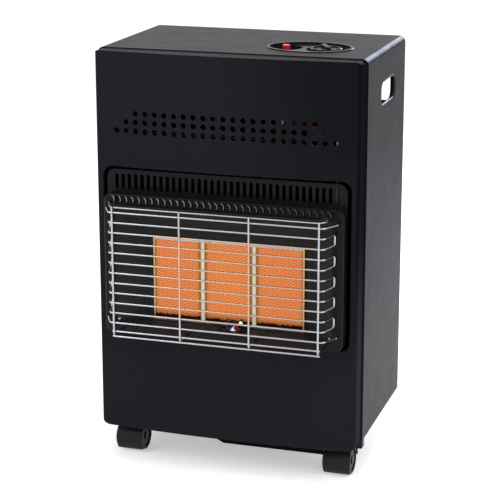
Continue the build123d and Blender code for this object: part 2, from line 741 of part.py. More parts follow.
# Two clips that carry the manifold on the heat shield.
clip_front = wrap_front + tube_y + manifold_diameter / 2 + seat
clip_width = 12.0
clip_foot = 3.0
with BuildPart() as clips:
    for x in (-plaque_step / 2, plaque_step / 2):
        with BuildSketch(Plane.YZ.offset(x - clip_width / 2)):
            with Locations((clip_front, manifold_z)):
                Rectangle(wrap_front + shield_y - seat - clip_front, 16, align=(Align.MIN, Align.CENTER))
            with Locations((wrap_front + shield_y - seat, manifold_z - manifold_diameter / 2 - seat)):
                Rectangle(shield_y - seat - tube_y + 3, clip_foot, align=(Align.MAX, Align.MAX))
        extrude(amount=clip_width)
finish(clips.part, "manifold_clips")

# Control bracket: hangs under the top and carries the gas valve on its shelf.
valve_length, valve_width, valve_height = valve_body
bracket_width = valve_length + 14
bracket_y = wrap_front + dish_y + dish_width / 2
nozzle_z = bracket_shelf_z + 16.0
with BuildPart() as bracket:
    with BuildSketch(Plane.XY.offset(bracket_shelf_z)):
        with Locations((valve_x, wrap_front + valve_y - valve_width / 2)):
            Rectangle(bracket_width, bracket_y + tray_sheet - wrap_front - valve_y + valve_width / 2,
                      align=(Align.CENTER, Align.MIN))
    extrude(amount=-tray_sheet)
    with BuildSketch(Plane.XZ.offset(-bracket_y)):
        with Locations((valve_x, bracket_shelf_z - tray_sheet)):
            Rectangle(bracket_width, body_top - sheet - bracket_shelf_z + tray_sheet,
                      align=(Align.CENTER, Align.MIN))
        with Locations((valve_x, nozzle_z)):
            Circle(8.0, mode=Mode.SUBTRACT)
    extrude(amount=-tray_sheet)
    with BuildSketch(Plane.XY.offset(body_top - sheet)):
        with Locations((valve_x, bracket_y)):
            Rectangle(bracket_width, 18, align=(Align.CENTER, Align.MIN))
    extrude(amount=-tray_sheet)
finish(bracket.part, "control_bracket")

# Gas valve: cast body with a gland on top that guides the spindle.
valve_top = bracket_shelf_z + valve_height
gland_top = valve_top + 10.0
spindle_bottom = valve_top - 12.0
with BuildPart() as valve:
    with BuildSketch(Plane.XY.offset(bracket_shelf_z)):
        with Locations((valve_x, wrap_front + valve_y)):
            Rectangle(valve_length, valve_width)
    extrude(amount=valve_height)
    fillet(valve.edges().filter_by(Axis.Z), 5)
    with BuildSketch(Plane.XY.offset(valve_top)):
        with Locations((valve_x, wrap_front + valve_y)):
            Circle(11)
    extrude(amount=gland_top - valve_top)
    chamfer(valve.faces().sort_by(Axis.Z)[-1].edges(), 1.5)
    with BuildSketch(Plane.XY.offset(gland_top)):
        with Locations((valve_x, wrap_front + valve_y)):
            Circle(spindle_diameter / 2 + running_gap)
    extrude(amount=spindle_bottom - knob_travel - 2 - gland_top, mode=Mode.SUBTRACT)
finish(valve.part, "gas_valve")

# Hose nozzle: barbed inlet at the back of the valve.
nozzle_start = wrap_front + valve_y + valve_width / 2
barb_start = bracket_y + tray_sheet + 3.0
with BuildPart() as nozzle:
    with BuildSketch(Plane.YZ.offset(valve_x)):
        with BuildLine():
            line = Polyline((nozzle_start, nozzle_z), (nozzle_start, nozzle_z + 7), (nozzle_start + 9, nozzle_z + 7),
                            (nozzle_start + 9, nozzle_z + 4.5), (barb_start, nozzle_z + 4.5))
            barbs = Polyline((barb_start, nozzle_z + 4.5), (barb_start + 0.5, nozzle_z + 5.2),
                             (barb_start + 6, nozzle_z + 4.2), (barb_start + 6.5, nozzle_z + 5.2),
                             (barb_start + 12, nozzle_z + 4.2), (barb_start + 12.5, nozzle_z + 5.2),
                             (barb_start + 18, nozzle_z + 4.0), (barb_start + 18, nozzle_z + 2.4))
            Polyline((barb_start + 18, nozzle_z + 2.4), (nozzle_start + 4, nozzle_z + 2.4),
                     (nozzle_start + 4, nozzle_z), (nozzle_start, nozzle_z))
        make_face()
    revolve(axis=Axis((valve_x, nozzle_start, nozzle_z), (0, 1, 0)))
finish(nozzle.part, "hose_nozzle")

# Pipes and leads from the valve and the igniter to the manifold and the pilot.
valve_side = valve_x + valve_length / 2 + seat
valve_mid_y = wrap_front + valve_y
plate_z = reflector_floor - seat - 1.0
lead_z = plate_z - 8.0
pilot_front = wrap_front + pilot_y
supply = [(manifold_length / 2 + seat, wrap_front + tube_y, manifold_z), (riser_x, wrap_front + tube_y, manifold_z),
          (riser_x, wrap_front + tube_y, bracket_shelf_z + 14), (riser_x, valve_mid_y, bracket_shelf_z + 14),
          (valve_side, valve_mid_y, bracket_shelf_z + 14)]
finish(bent_wire(supply, 10.0, pipe_diameter), "supply_pipe")

pilot_route = [(pilot_x, pilot_front, plate_z - seat), (pilot_x, pilot_front, lead_z),
               (pilot_x, wrap_front + 20, lead_z), (riser_x + 12, wrap_front + 20, lead_z),
               (riser_x + 12, wrap_front + 20, bracket_shelf_z + 26),
               (riser_x + 12, valve_mid_y + 8, bracket_shelf_z + 26),
               (valve_side, valve_mid_y + 8, bracket_shelf_z + 26)]
finish(bent_wire(pilot_route, 6.0, 4.0), "pilot_pipe")

probe_x = pilot_x + 12.0
electrode_x = pilot_x - 12.0
capillary_route = [(probe_x, pilot_front, plate_z - seat), (probe_x, pilot_front, lead_z),
                   (probe_x, wrap_front + 12, lead_z), (riser_x + 34, wrap_front + 12, lead_z),
                   (riser_x + 34, wrap_front + 12, bracket_shelf_z + 38),
                   (riser_x + 34, valve_mid_y - 9, bracket_shelf_z + 38),
                   (valve_side, valve_mid_y - 9, bracket_shelf_z + 38)]
finish(bent_wire(capillary_route, 6.0, 2.4), "thermocouple_lead")

igniter_bottom = bracket_shelf_z + 8.0
igniter_y = wrap_front + button_y
spark_route = [(electrode_x, pilot_front, plate_z - seat), (electrode_x, pilot_front, lead_z),
               (electrode_x, wrap_front + 28, lead_z), (riser_x + 24, wrap_front + 28, lead_z),
               (riser_x + 24, wrap_front + 28, spark_run_z), (button_x + 14, wrap_front + 28, spark_run_z),
               (button_x, igniter_y - 22, spark_run_z), (button_x, igniter_y - 22, igniter_bottom - 14),
               (button_x, igniter_y, igniter_bottom - 14), (button_x, igniter_y, igniter_bottom - seat)]
finish(bent_wire(spark_route, 7.0, 3.0), "spark_lead")

# Pilot bracket under the reflector floor, and what stands on it.
with BuildPart() as pilot_plate:
    with BuildSketch(Plane.XY.offset(plate_z)):
        with Locations((pilot_x, pilot_front)):
            RectangleRounded(pilot_window[0] + 10, pilot_window[1] + 8, 3)
    extrude(amount=1.0)
finish(pilot_plate.part, "pilot_bracket")

plate_top = plate_z + 1.0
with BuildPart() as pilot:
    with BuildSketch(Plane.XZ.offset(-pilot_front)):
        with BuildLine():
            Polyline((pilot_x, plate_top), (pilot_x + 5, plate_top), (pilot_x + 5, plate_top + 4),
                     (pilot_x + 3.4, plate_top + 4), (pilot_x + 3.4, plate_top + 11), (pilot_x + 4.6, plate_top + 12),
                     (pilot_x + 4.6, plate_top + 17), (pilot_x, plate_top + 17), close=True)
        make_face()
    revolve(axis=Axis((pilot_x, pilot_front, plate_top), (0, 0, 1)))
    with BuildSketch(Plane.XY.offset(plate_top + 17)):
        with Locations((pilot_x, pilot_front)):
            Circle(3.2)
    extrude(amount=-4, mode=Mode.SUBTRACT)
finish(pilot.part, "pilot_burner")

with BuildPart() as probe:
    with BuildSketch(Plane.XY.offset(plate_top)):
        with Locations((probe_x, pilot_front)):
            RegularPolygon(4.4, 6)
    extrude(amount=3)
    with BuildSketch(Plane.XY.offset(plate_top + 3)):
        with Locations((probe_x, pilot_front)):
            Circle(2.4)
    extrude(amount=18)
    fillet(probe.faces().sort_by(Axis.Z)[-1].edges(), 1.8)
finish(probe.part, "thermocouple")

with BuildPart() as electrode:
    with BuildSketch(Plane.XY.offset(plate_top)):
        with Locations((electrode_x, pilot_front)):
            Circle(3.0)
    extrude(amount=12)
    chamfer(electrode.faces().sort_by(Axis.Z)[-1].edges(), 0.8)
    with BuildSketch(Plane.XY.offset(plate_top + 12)):
        with Locations((electrode_x, pilot_front)):
            Circle(0.9)
    extrude(amount=5)
    with BuildSketch(Plane.YZ.offset(electrode_x - 0.9)):
        with Locations((pilot_front, plate_top + 17)):
            Circle(0.9)
    extrude(amount=pilot_x - 6.0 - electrode_x + 0.9)
finish(electrode.part, "spark_electrode")


# ================= controls =================

# Control dish: oval recess in the top, with a rim that rests on the casing.
dish_floor = body_top - dish_depth
with BuildPart() as dish:
    with BuildSketch(Plane.XY.offset(dish_floor - dish_wall)):
        with Locations((dish_centre_x, wrap_front + dish_y)):
            Ellipse(dish_length / 2 - dish_rim - seat, dish_width / 2 - dish_rim - seat)
    extrude(amount=dish_depth + dish_wall)
    with BuildSketch(Plane.XY.offset(body_top)):
        with Locations((dish_centre_x, wrap_front + dish_y)):
            Ellipse(dish_length / 2, dish_width / 2)
    extrude(amount=dish_wall)
    fillet(dish.faces().sort_by(Axis.Z)[-1].edges(), 1.0)
    with BuildSketch(Plane.XY.offset(body_top - dish_land)):
        with Locations((dish_centre_x, wrap_front + dish_y)):
            Ellipse(dish_length / 2 - dish_rim - seat - dish_wall, dish_width / 2 - dish_rim - seat - dish_wall)
    extrude(amount=dish_land + 2 * dish_wall, mode=Mode.SUBTRACT)
    wells = ((valve_x, valve_mid_y, knob_well / 2), (button_x, igniter_y, button_well / 2))
    for x, y, radius in wells:
        with BuildSketch(Plane.XY.offset(dish_floor)):
            with Locations((dish_centre_x, wrap_front + dish_y)):
                Ellipse(dish_length / 2 - dish_rim - seat - dish_wall, dish_width / 2 - dish_rim - seat - dish_wall)
            with Locations((x, y)):
                Circle(radius, mode=Mode.INTERSECT)
        extrude(amount=dish_depth + 2 * dish_wall, mode=Mode.SUBTRACT)
    with BuildSketch(Plane.XY.offset(dish_floor - dish_wall)):
        with Locations((dish_centre_x, wrap_front + dish_y)):
            Ellipse(dish_length / 2 - dish_rim - seat - dish_wall, dish_width / 2 - dish_rim - seat - dish_wall)
        for x, y, radius in wells:
            with Locations((x, y)):
                Circle(radius + dish_wall, mode=Mode.SUBTRACT)
    extrude(amount=dish_depth - dish_land, mode=Mode.SUBTRACT)
    with BuildSketch(Plane.XY.offset(dish_floor)):
        with Locations((valve_x, valve_mid_y)):
            Circle(spindle_diameter / 2 + 1.0)
        with Locations((button_x, igniter_y)):
            Circle(button_diameter / 2 + running_gap)
    extrude(amount=-2 * dish_wall, mode=Mode.SUBTRACT)
finish(dish.part, "control_dish")

# Spindle collar: slides down over the gland when the knob is pressed.
knob_bottom = dish_floor + knob_travel + 0.6
with BuildPart() as collar:
    with BuildSketch(Plane.XY.offset(gland_top + knob_travel + 0.6)):
        with Locations((valve_x, valve_mid_y)):
            Circle(8)
            Circle(spindle_diameter / 2 + running_gap, mode=Mode.SUBTRACT)
    extrude(amount=9)
finish(collar.part, "spindle_collar")

# Valve spindle: long rod from the valve up to the knob.
with BuildPart() as spindle:
    with BuildSketch(Plane.XY.offset(spindle_bottom)):
        with Locations((valve_x, valve_mid_y)):
            Circle(spindle_diameter / 2)
    extrude(amount=knob_bottom + knob_height - 2.5 - spindle_bottom)
    chamfer(spindle.faces().sort_by(Axis.Z)[0].edges(), 0.8)
finish(spindle.part, "valve_spindle")

# Control knob: round skirt with a diagonal grip bar.
knob_radius = knob_diameter / 2
bar_angle = -62.0
with BuildPart() as knob:
    with BuildSketch(Plane.XZ.offset(-valve_mid_y)):
        with BuildLine():
            Polyline((valve_x, knob_bottom), (valve_x + knob_radius - 0.6, knob_bottom),
                     (valve_x + knob_radius, knob_bottom + 0.6), (valve_x + knob_radius - 1.2, knob_bottom + knob_height - 1),
                     (valve_x + knob_radius - 2.6, knob_bottom + knob_height),
                     (valve_x + knob_radius - 5, knob_bottom + knob_height),
                     (valve_x + knob_radius - 6, knob_bottom + knob_height - 2), (valve_x, knob_bottom + knob_height - 2),
                     close=True)
        make_face()
    revolve(axis=Axis((valve_x, valve_mid_y, knob_bottom), (0, 0, 1)))
    with BuildSketch(Plane.XY.offset(knob_bottom + knob_height - 2)):
        with Locations((valve_x, valve_mid_y)):
            SlotOverall(knob_diameter - 13, 9, rotation=bar_angle)
    extrude(amount=6.0, taper=4)
    fillet(knob.faces().sort_by(Axis.Z)[-1].edges(), 1.2)
    with BuildSketch(Plane.XY.offset(knob_bottom)):
        with Locations((valve_x, valve_mid_y)):
            Circle(spindle_diameter / 2 + running_gap)
    extrude(amount=knob_height - 2.2, mode=Mode.SUBTRACT)
finish(knob.part, "control_knob")

# Igniter: long housing under the dish with a nut on top, and its sprung push button.
igniter_top = dish_floor - dish_wall - seat
button_bottom = igniter_top - 8.0
with BuildPart() as igniter:
    with BuildSketch(Plane.XY.offset(igniter_bottom)):
        with Locations((button_x, igniter_y)):
            Circle(igniter_diameter / 2)
    extrude(amount=igniter_top - 5 - igniter_bottom)
    with BuildSketch(Plane.XY.offset(igniter_top - 5)):
        with Locations((button_x, igniter_y)):
            RegularPolygon(13, 6)
    extrude(amount=5)
    with BuildSketch(Plane.XY.offset(igniter_top)):
        with Locations((button_x, igniter_y)):
            Circle(button_diameter / 2 + running_gap)
    extrude(amount=-(8 + button_travel + 2), mode=Mode.SUBTRACT)
finish(igniter.part, "piezo_igniter")

with BuildPart() as button:
    with BuildSketch(Plane.XY.offset(button_bottom)):
        with Locations((button_x, igniter_y)):
            Circle(button_diameter / 2)
    extrude(amount=dish_floor + button_height - button_bottom)
    fillet(button.faces().sort_by(Axis.Z)[-1].edges(), 1.6)
finish(button.part, "igniter_button")

# ================= rear door =================


def door_shell_block(inset):
    """The door's bulged hollow as a solid, its walls moved inwards by an inset."""
    width = 2 * (door_half - door_rim - inset)
    height = door_top - door_bottom - 2 * (door_rim + inset)
    with BuildPart(mode=Mode.PRIVATE) as block:
        with BuildSketch(Plane.XZ.offset(-(wrap_rear + seat))):
            with Locations((0, (door_top + door_bottom) / 2)):
                RectangleRounded(width, height, door_corner - inset)
        with BuildSketch(Plane.XZ.offset(-(wrap_rear + door_bulge - inset))):
            with Locations((0, (door_top + door_bottom) / 2)):
                RectangleRounded(width - 2 * door_taper, height - 2 * door_taper, door_corner - inset)
        loft()
    return block.part


# Rear door: bulged pressing with a flat rim, two columns of louvre slots and two hinge knuckles.
door_middle_z = (door_top + door_bottom) / 2
hinge_y = wrap_rear + hinge_back
knuckle_radius = hinge_pin_diameter / 2 + 1.6
with BuildPart() as door:
    add(door_shell_block(0))
    with BuildSketch(Plane.XZ.offset(-(wrap_rear + seat))):
        with Locations((0, door_middle_z)):
            RectangleRounded(2 * door_half, door_top - door_bottom, 8)
    extrude(amount=-door_wall)
    add(door_shell_block(door_wall), mode=Mode.SUBTRACT)
    with BuildSketch(Plane.XZ.offset(-(wrap_rear - 1))):
        with Locations((0, door_middle_z)):
            RectangleRounded(2 * (door_half - door_rim - door_wall), door_top - door_bottom - 2 * door_rim - 2, 12)
    extrude(amount=-(seat + door_wall + 1.2), mode=Mode.SUBTRACT)
    with BuildSketch(Plane.XZ.offset(-(wrap_rear + door_bulge - 5))):
        with Locations((0, door_middle_z + 60)):
            with GridLocations(louvre_length + 20, louvre_pitch, 2, louvre_rows):
                SlotOverall(louvre_length, louvre_height)
    extrude(amount=-10, mode=Mode.SUBTRACT)
    for z in hinge_heights:
        with BuildSketch(Plane.XY.offset(z - hinge_knuckle / 2)):
            with Locations((hinge_x, hinge_y)):
                Circle(knuckle_radius)
            with Locations((hinge_x, wrap_rear + seat + door_wall)):
                Rectangle(-hinge_x - door_half + 8, 1.5, align=(Align.MIN, Align.MIN))
            with Locations((hinge_x, hinge_y)):
                Circle(hinge_pin_diameter / 2 + running_gap, mode=Mode.SUBTRACT)
        extrude(amount=hinge_knuckle)
finish(door.part, "rear_door")

# Hinge brackets on the casing's rear flange, above and below each door knuckle, and their pins.
bracket_leaf = 1.2
with BuildPart() as hinges:
    for z in hinge_heights:
        for low in (z - 1.5 * hinge_knuckle - seat, z + hinge_knuckle / 2 + seat):
            with BuildSketch(Plane.XY.offset(low)):
                with Locations((hinge_x, hinge_y)):
                    Circle(knuckle_radius)
                with Locations((hinge_x, wrap_rear)):
                    Rectangle(2 * knuckle_radius - 0.6, bracket_leaf, align=(Align.CENTER, Align.MIN))
                with Locations((hinge_x, hinge_y)):
                    Circle(hinge_pin_diameter / 2 + running_gap, mode=Mode.SUBTRACT)
            extrude(amount=hinge_knuckle)
finish(hinges.part, "hinge_brackets")

with BuildPart() as pins:
    for z in hinge_heights:
        with BuildSketch(Plane.XY.offset(z - 1.5 * hinge_knuckle - seat)):
            with Locations((hinge_x, hinge_y)):
                Circle(hinge_pin_diameter / 2)
        extrude(amount=3 * hinge_knuckle + 2 * seat + 0.5)
        with BuildSketch(Plane.XY.offset(z + 1.5 * hinge_knuckle + seat + 0.3)):
            with Locations((hinge_x, hinge_y)):
                Circle(knuckle_radius - 0.4)
        extrude(amount=1.5)
finish(pins.part, "hinge_pins")

# Turn button over the door's free edge, its pivot on the casing's rear flange.
latch_front = wrap_rear + seat + door_wall + seat
with BuildPart() as latch_pivot:
    with BuildSketch(Plane.XZ.offset(-wrap_rear)):
        with Locations((latch_x, latch_z)):
            Circle(2.5)
    extrude(amount=-(latch_front - wrap_rear + 2.3 + 0.5))
    with BuildSketch(Plane.XZ.offset(-wrap_rear)):
        with Locations((latch_x, latch_z)):
            Circle(4.2)
    extrude(amount=-(latch_front - wrap_rear - seat))
    with BuildSketch(Plane.XZ.offset(-(latch_front + 2.3))):
        with Locations((latch_x, latch_z)):
            Circle(4.2)
    extrude(amount=-1.6)
finish(latch_pivot.part, "latch_pivot")

with BuildPart() as latch:
    with BuildSketch(Plane.XZ.offset(-latch_front)):
        with Locations((latch_x, latch_z)):
            Circle(latch_width / 2)
        with Locations((door_half - latch_grip + latch_width / 2, latch_z)):
            Circle(latch_width / 2)
        with Locations(((door_half - latch_grip + latch_width / 2 + latch_x) / 2, latch_z)):
            Rectangle(latch_x - door_half + latch_grip - latch_width / 2, latch_width)
        with Locations((latch_x, latch_z)):
            Circle(2.5 + running_gap, mode=Mode.SUBTRACT)
    extrude(amount=-2.0)
    with BuildSketch(Plane.XZ.offset(-(latch_front + 2.0))):
        with Locations((door_half - latch_grip + latch_width / 2, latch_z)):
            Rectangle(6.0, 2.4)
    extrude(amount=-2.5)
finish(latch.part, "door_latch")

# Screws through the casing's rear flange and the tray's rear lip.
with BuildPart() as screws:
    lip_rear = wrap_rear - sheet - tray_gap
    for x in (-1.5 * screw_pitch, -screw_pitch / 2, screw_pitch / 2, 1.5 * screw_pitch):
        with BuildSketch(Plane.XZ.offset(-lip_rear)):
            with Locations((x, body_bottom + tray_lip / 2)):
                Circle(3.8)
        extrude(amount=-1.8)
    fillet(screws.faces().group_by(Axis.Y)[-1].edges(), 0.8)
finish(screws.part, "rear_screws")

# ================= casters =================

wheel_radius = wheel_diameter / 2
hood_radius = wheel_radius + hood_gap + hood_wall

with BuildPart() as sockets:
    for x, y in ((-caster_x, caster_front_y), (caster_x, caster_front_y),
                 (-caster_rear_x, caster_rear_y), (caster_rear_x, caster_rear_y)):
        with BuildSketch(Plane.XY.offset(body_bottom - socket_flange)):
            with Locations((x, wrap_front + y)):
                Circle(socket_diameter / 2 + 5)
        extrude(amount=socket_flange)
        with BuildSketch(Plane.XY.offset(body_bottom)):
            with Locations((x, wrap_front + y)):
                Circle(socket_diameter / 2)
        extrude(amount=socket_height)
        with BuildSketch(Plane.XY.offset(body_bottom - socket_flange)):
            with Locations((x, wrap_front + y)):
                Circle(stem_diameter / 2 + running_gap)
        extrude(amount=socket_height, mode=Mode.SUBTRACT)
finish(sockets.part, "caster_sockets")

corners = (("front_left", -caster_x, caster_front_y), ("front_right", caster_x, caster_front_y),
           ("rear_left", -caster_rear_x, caster_rear_y), ("rear_right", caster_rear_x, caster_rear_y))
stem_length = body_bottom - socket_flange + socket_height - 3 - caster_boss_top
for corner, x, y in corners:
    swivel_y = wrap_front + y
    hub_y = swivel_y - caster_trail
    with BuildPart() as housing:
        with BuildSketch(Plane.YZ.offset(x - caster_width / 2)):
            with Locations((hub_y, wheel_radius)):
                Circle(hood_radius)
                Rectangle(3 * hood_radius, 2 * hood_radius, align=(Align.MIN, Align.MAX), mode=Mode.SUBTRACT)
            with Locations((hub_y, hood_low)):
                Rectangle(3 * hood_radius, 2 * hood_radius, align=(Align.CENTER, Align.MAX), mode=Mode.SUBTRACT)
        extrude(amount=caster_width)
        with BuildSketch(Plane.XZ.offset(-hub_y)):
            with BuildLine():
                low, high = hood_low - 1, wheel_radius + hood_radius + 1
                half = caster_width / 2
                ThreePointArc((x - half + hood_waist, low), (x - half, (low + high) / 2), (x - half + hood_waist, high))
                Line((x - half + hood_waist, high), (x + half - hood_waist, high))
                ThreePointArc((x + half - hood_waist, high), (x + half, (low + high) / 2), (x + half - hood_waist, low))
                Line((x + half - hood_waist, low), (x - half + hood_waist, low))
            make_face()
        extrude(amount=2 * hood_radius, both=True, mode=Mode.INTERSECT)
        with BuildSketch(Plane.YZ.offset(x - caster_web / 2)):
            with Locations((hub_y, wheel_radius)):
                Circle(axle_diameter / 2 + 7)
        extrude(amount=caster_web)
        with BuildSketch(Plane.XY.offset(wheel_radius)):
            with Locations((x, swivel_y)):
                Circle(11)
        extrude(amount=caster_boss_top - wheel_radius)
        for low in (x - caster_width / 2 - 1, x + caster_web / 2):
            with BuildSketch(Plane.YZ.offset(low)):
                with Locations((hub_y, wheel_radius)):
                    Circle(wheel_radius + hood_gap)
            extrude(amount=(caster_width - caster_web) / 2 + 1, mode=Mode.SUBTRACT)
        with BuildSketch(Plane.XY.offset(caster_boss_top)):
            with Locations((x, swivel_y)):
                Circle(stem_diameter / 2)
        extrude(amount=stem_length)
        chamfer(housing.faces().sort_by(Axis.Z)[-1].edges(), 0.8)
        with BuildSketch(Plane.YZ.offset(x - caster_width / 2)):
            with Locations((hub_y, wheel_radius)):
                Circle(axle_diameter / 2 + running_gap)
        extrude(amount=caster_width, mode=Mode.SUBTRACT)
    finish(housing.part, "caster_" + corner)
    with BuildPart() as wheels:
        for way in (-1, 1):
            with BuildSketch(Plane.YZ.offset(x + way * (caster_web / 2 + seat))):
                with Locations((hub_y, wheel_radius)):
                    Circle(wheel_radius)
            extrude(amount=way * wheel_width)
        fillet(wheels.edges().filter_by(GeomType.CIRCLE), 2.0)
        for way in (-1, 1):
            with BuildSketch(Plane.YZ.offset(x + way * (caster_web / 2 + seat + wheel_width))):
                with Locations((hub_y, wheel_radius)):
                    Circle(wheel_radius - 5)
                    Circle(7, mode=Mode.SUBTRACT)
            extrude(amount=-way * 2.0, mode=Mode.SUBTRACT)
        with BuildSketch(Plane.YZ.offset(x - caster_web / 2 - 3)):
            with Locations((hub_y, wheel_radius)):
                Circle(axle_diameter / 2)
        extrude(amount=caster_web + 6)
    finish(wheels.part, "wheels_" + corner)
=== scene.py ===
"""Portable gas cabinet heater: finishes, fine pieces, studio light and camera."""
import json
import logging
import math
from collections.abc import Sequence
from dataclasses import dataclass
from enum import Enum

import bpy
import numpy as np
from mathutils import Euler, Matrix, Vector


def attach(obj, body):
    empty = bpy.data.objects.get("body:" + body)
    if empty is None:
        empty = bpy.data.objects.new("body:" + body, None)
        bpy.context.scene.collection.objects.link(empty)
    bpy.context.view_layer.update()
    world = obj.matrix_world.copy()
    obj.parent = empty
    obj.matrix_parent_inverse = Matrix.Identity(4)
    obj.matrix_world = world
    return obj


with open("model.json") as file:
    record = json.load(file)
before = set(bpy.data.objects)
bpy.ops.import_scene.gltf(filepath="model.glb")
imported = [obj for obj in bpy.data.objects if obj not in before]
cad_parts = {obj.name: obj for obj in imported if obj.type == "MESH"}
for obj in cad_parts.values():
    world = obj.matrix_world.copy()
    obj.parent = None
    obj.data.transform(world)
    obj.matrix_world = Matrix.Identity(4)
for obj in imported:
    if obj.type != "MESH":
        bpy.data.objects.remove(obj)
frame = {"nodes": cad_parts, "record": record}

LOG = logging.getLogger("gas_heater")
Colour = tuple[float, float, float]
Place = tuple[float, float, float]
Pair = tuple[float, float]
Socket = bpy.types.NodeSocket


class Axis(Enum):
    """One of the heater's axes: across, front to back and up."""

    X = "X"
    Y = "Y"
    Z = "Z"


class Sum(Enum):
    """What a maths node works out."""

    ADD = "ADD"
    SUBTRACT = "SUBTRACT"
    MULTIPLY = "MULTIPLY"
    MULTIPLY_ADD = "MULTIPLY_ADD"
    MAXIMUM = "MAXIMUM"
    ABSOLUTE = "ABSOLUTE"
    PINGPONG = "PINGPONG"
    COSINE = "COSINE"


def tone(hexa: str) -> Colour:
    """Turn a written colour into scene-linear red, green and blue.

    A channel c becomes ((c + 0.055) / 1.055) to the power 2.4, or c / 12.92 where it is small.

    Args:
        hexa: Six hexadecimal digits.

    Returns:
        The three linear values.
    """
    channels = [int(hexa[i : i + 2], 16) / 255 for i in (0, 2, 4)]
    return tuple(c / 12.92 if c <= 0.04045 else ((c + 0.055) / 1.055) ** 2.4 for c in channels)


@dataclass(frozen=True)
class Cloud:
    """A cloudy pattern, worked out from noise.

    Attributes:
        scale: Clouds to a metre.
        detail: Octaves of finer cloud.
        low: Value of the noise at which the pattern starts.
        high: Value at which it is full.
    """

    scale: float
    detail: float
    low: float
    high: float


class Tree:
    """The node tree of a material or of the world, written a node at a time."""

    def __init__(self, owner: bpy.types.Material | bpy.types.World) -> None:
        """Empty the tree of its owner.

        Args:
            owner: The new material or world.
        """
        owner.use_nodes = True
        self.tree = owner.node_tree
        self.tree.nodes.clear()

    def node(self, kind: str, **settings: object) -> bpy.types.Node:
        """Add a node and set its properties.

        Args:
            kind: Blender's node type.
            **settings: Properties of the node by name.

        Returns:
            The new node.
        """
        made = self.tree.nodes.new(kind)
        for key, value in settings.items():
            setattr(made, key, value)
        return made

    def join(self, source: Socket | float | Sequence[float], target: Socket) -> None:
        """Wire a socket to another, or write a plain value on it.

        Args:
            source: Socket or value.
            target: Socket that gets it.
        """
        if isinstance(source, bpy.types.NodeSocket):
            self.tree.links.new(source, target)
        else:
            target.default_value = source

    def maths(self, operation: Sum, *values: Socket | float, clamp: bool = False) -> Socket:
        """Apply one arithmetic operation to sockets or numbers.

        Args:
            operation: What is worked out.
            *values: What it is worked out from, in order.
            clamp: Keep the result between 0 and 1.

        Returns:
            The result.
        """
        made = self.node("ShaderNodeMath", operation=operation.value, use_clamp=clamp)
        for value, target in zip(values, made.inputs):
            self.join(value, target)
        return made.outputs[0]

    def seen(self) -> Socket:
        """Give 1 for camera, glossy and transmitted rays and 0 for the others.

        Returns:
            The value.
        """
        path = self.node("ShaderNodeLightPath").outputs
        both = self.maths(Sum.ADD, path["Is Camera Ray"], path["Is Glossy Ray"])
        return self.maths(Sum.ADD, both, path["Is Transmission Ray"], clamp=True)


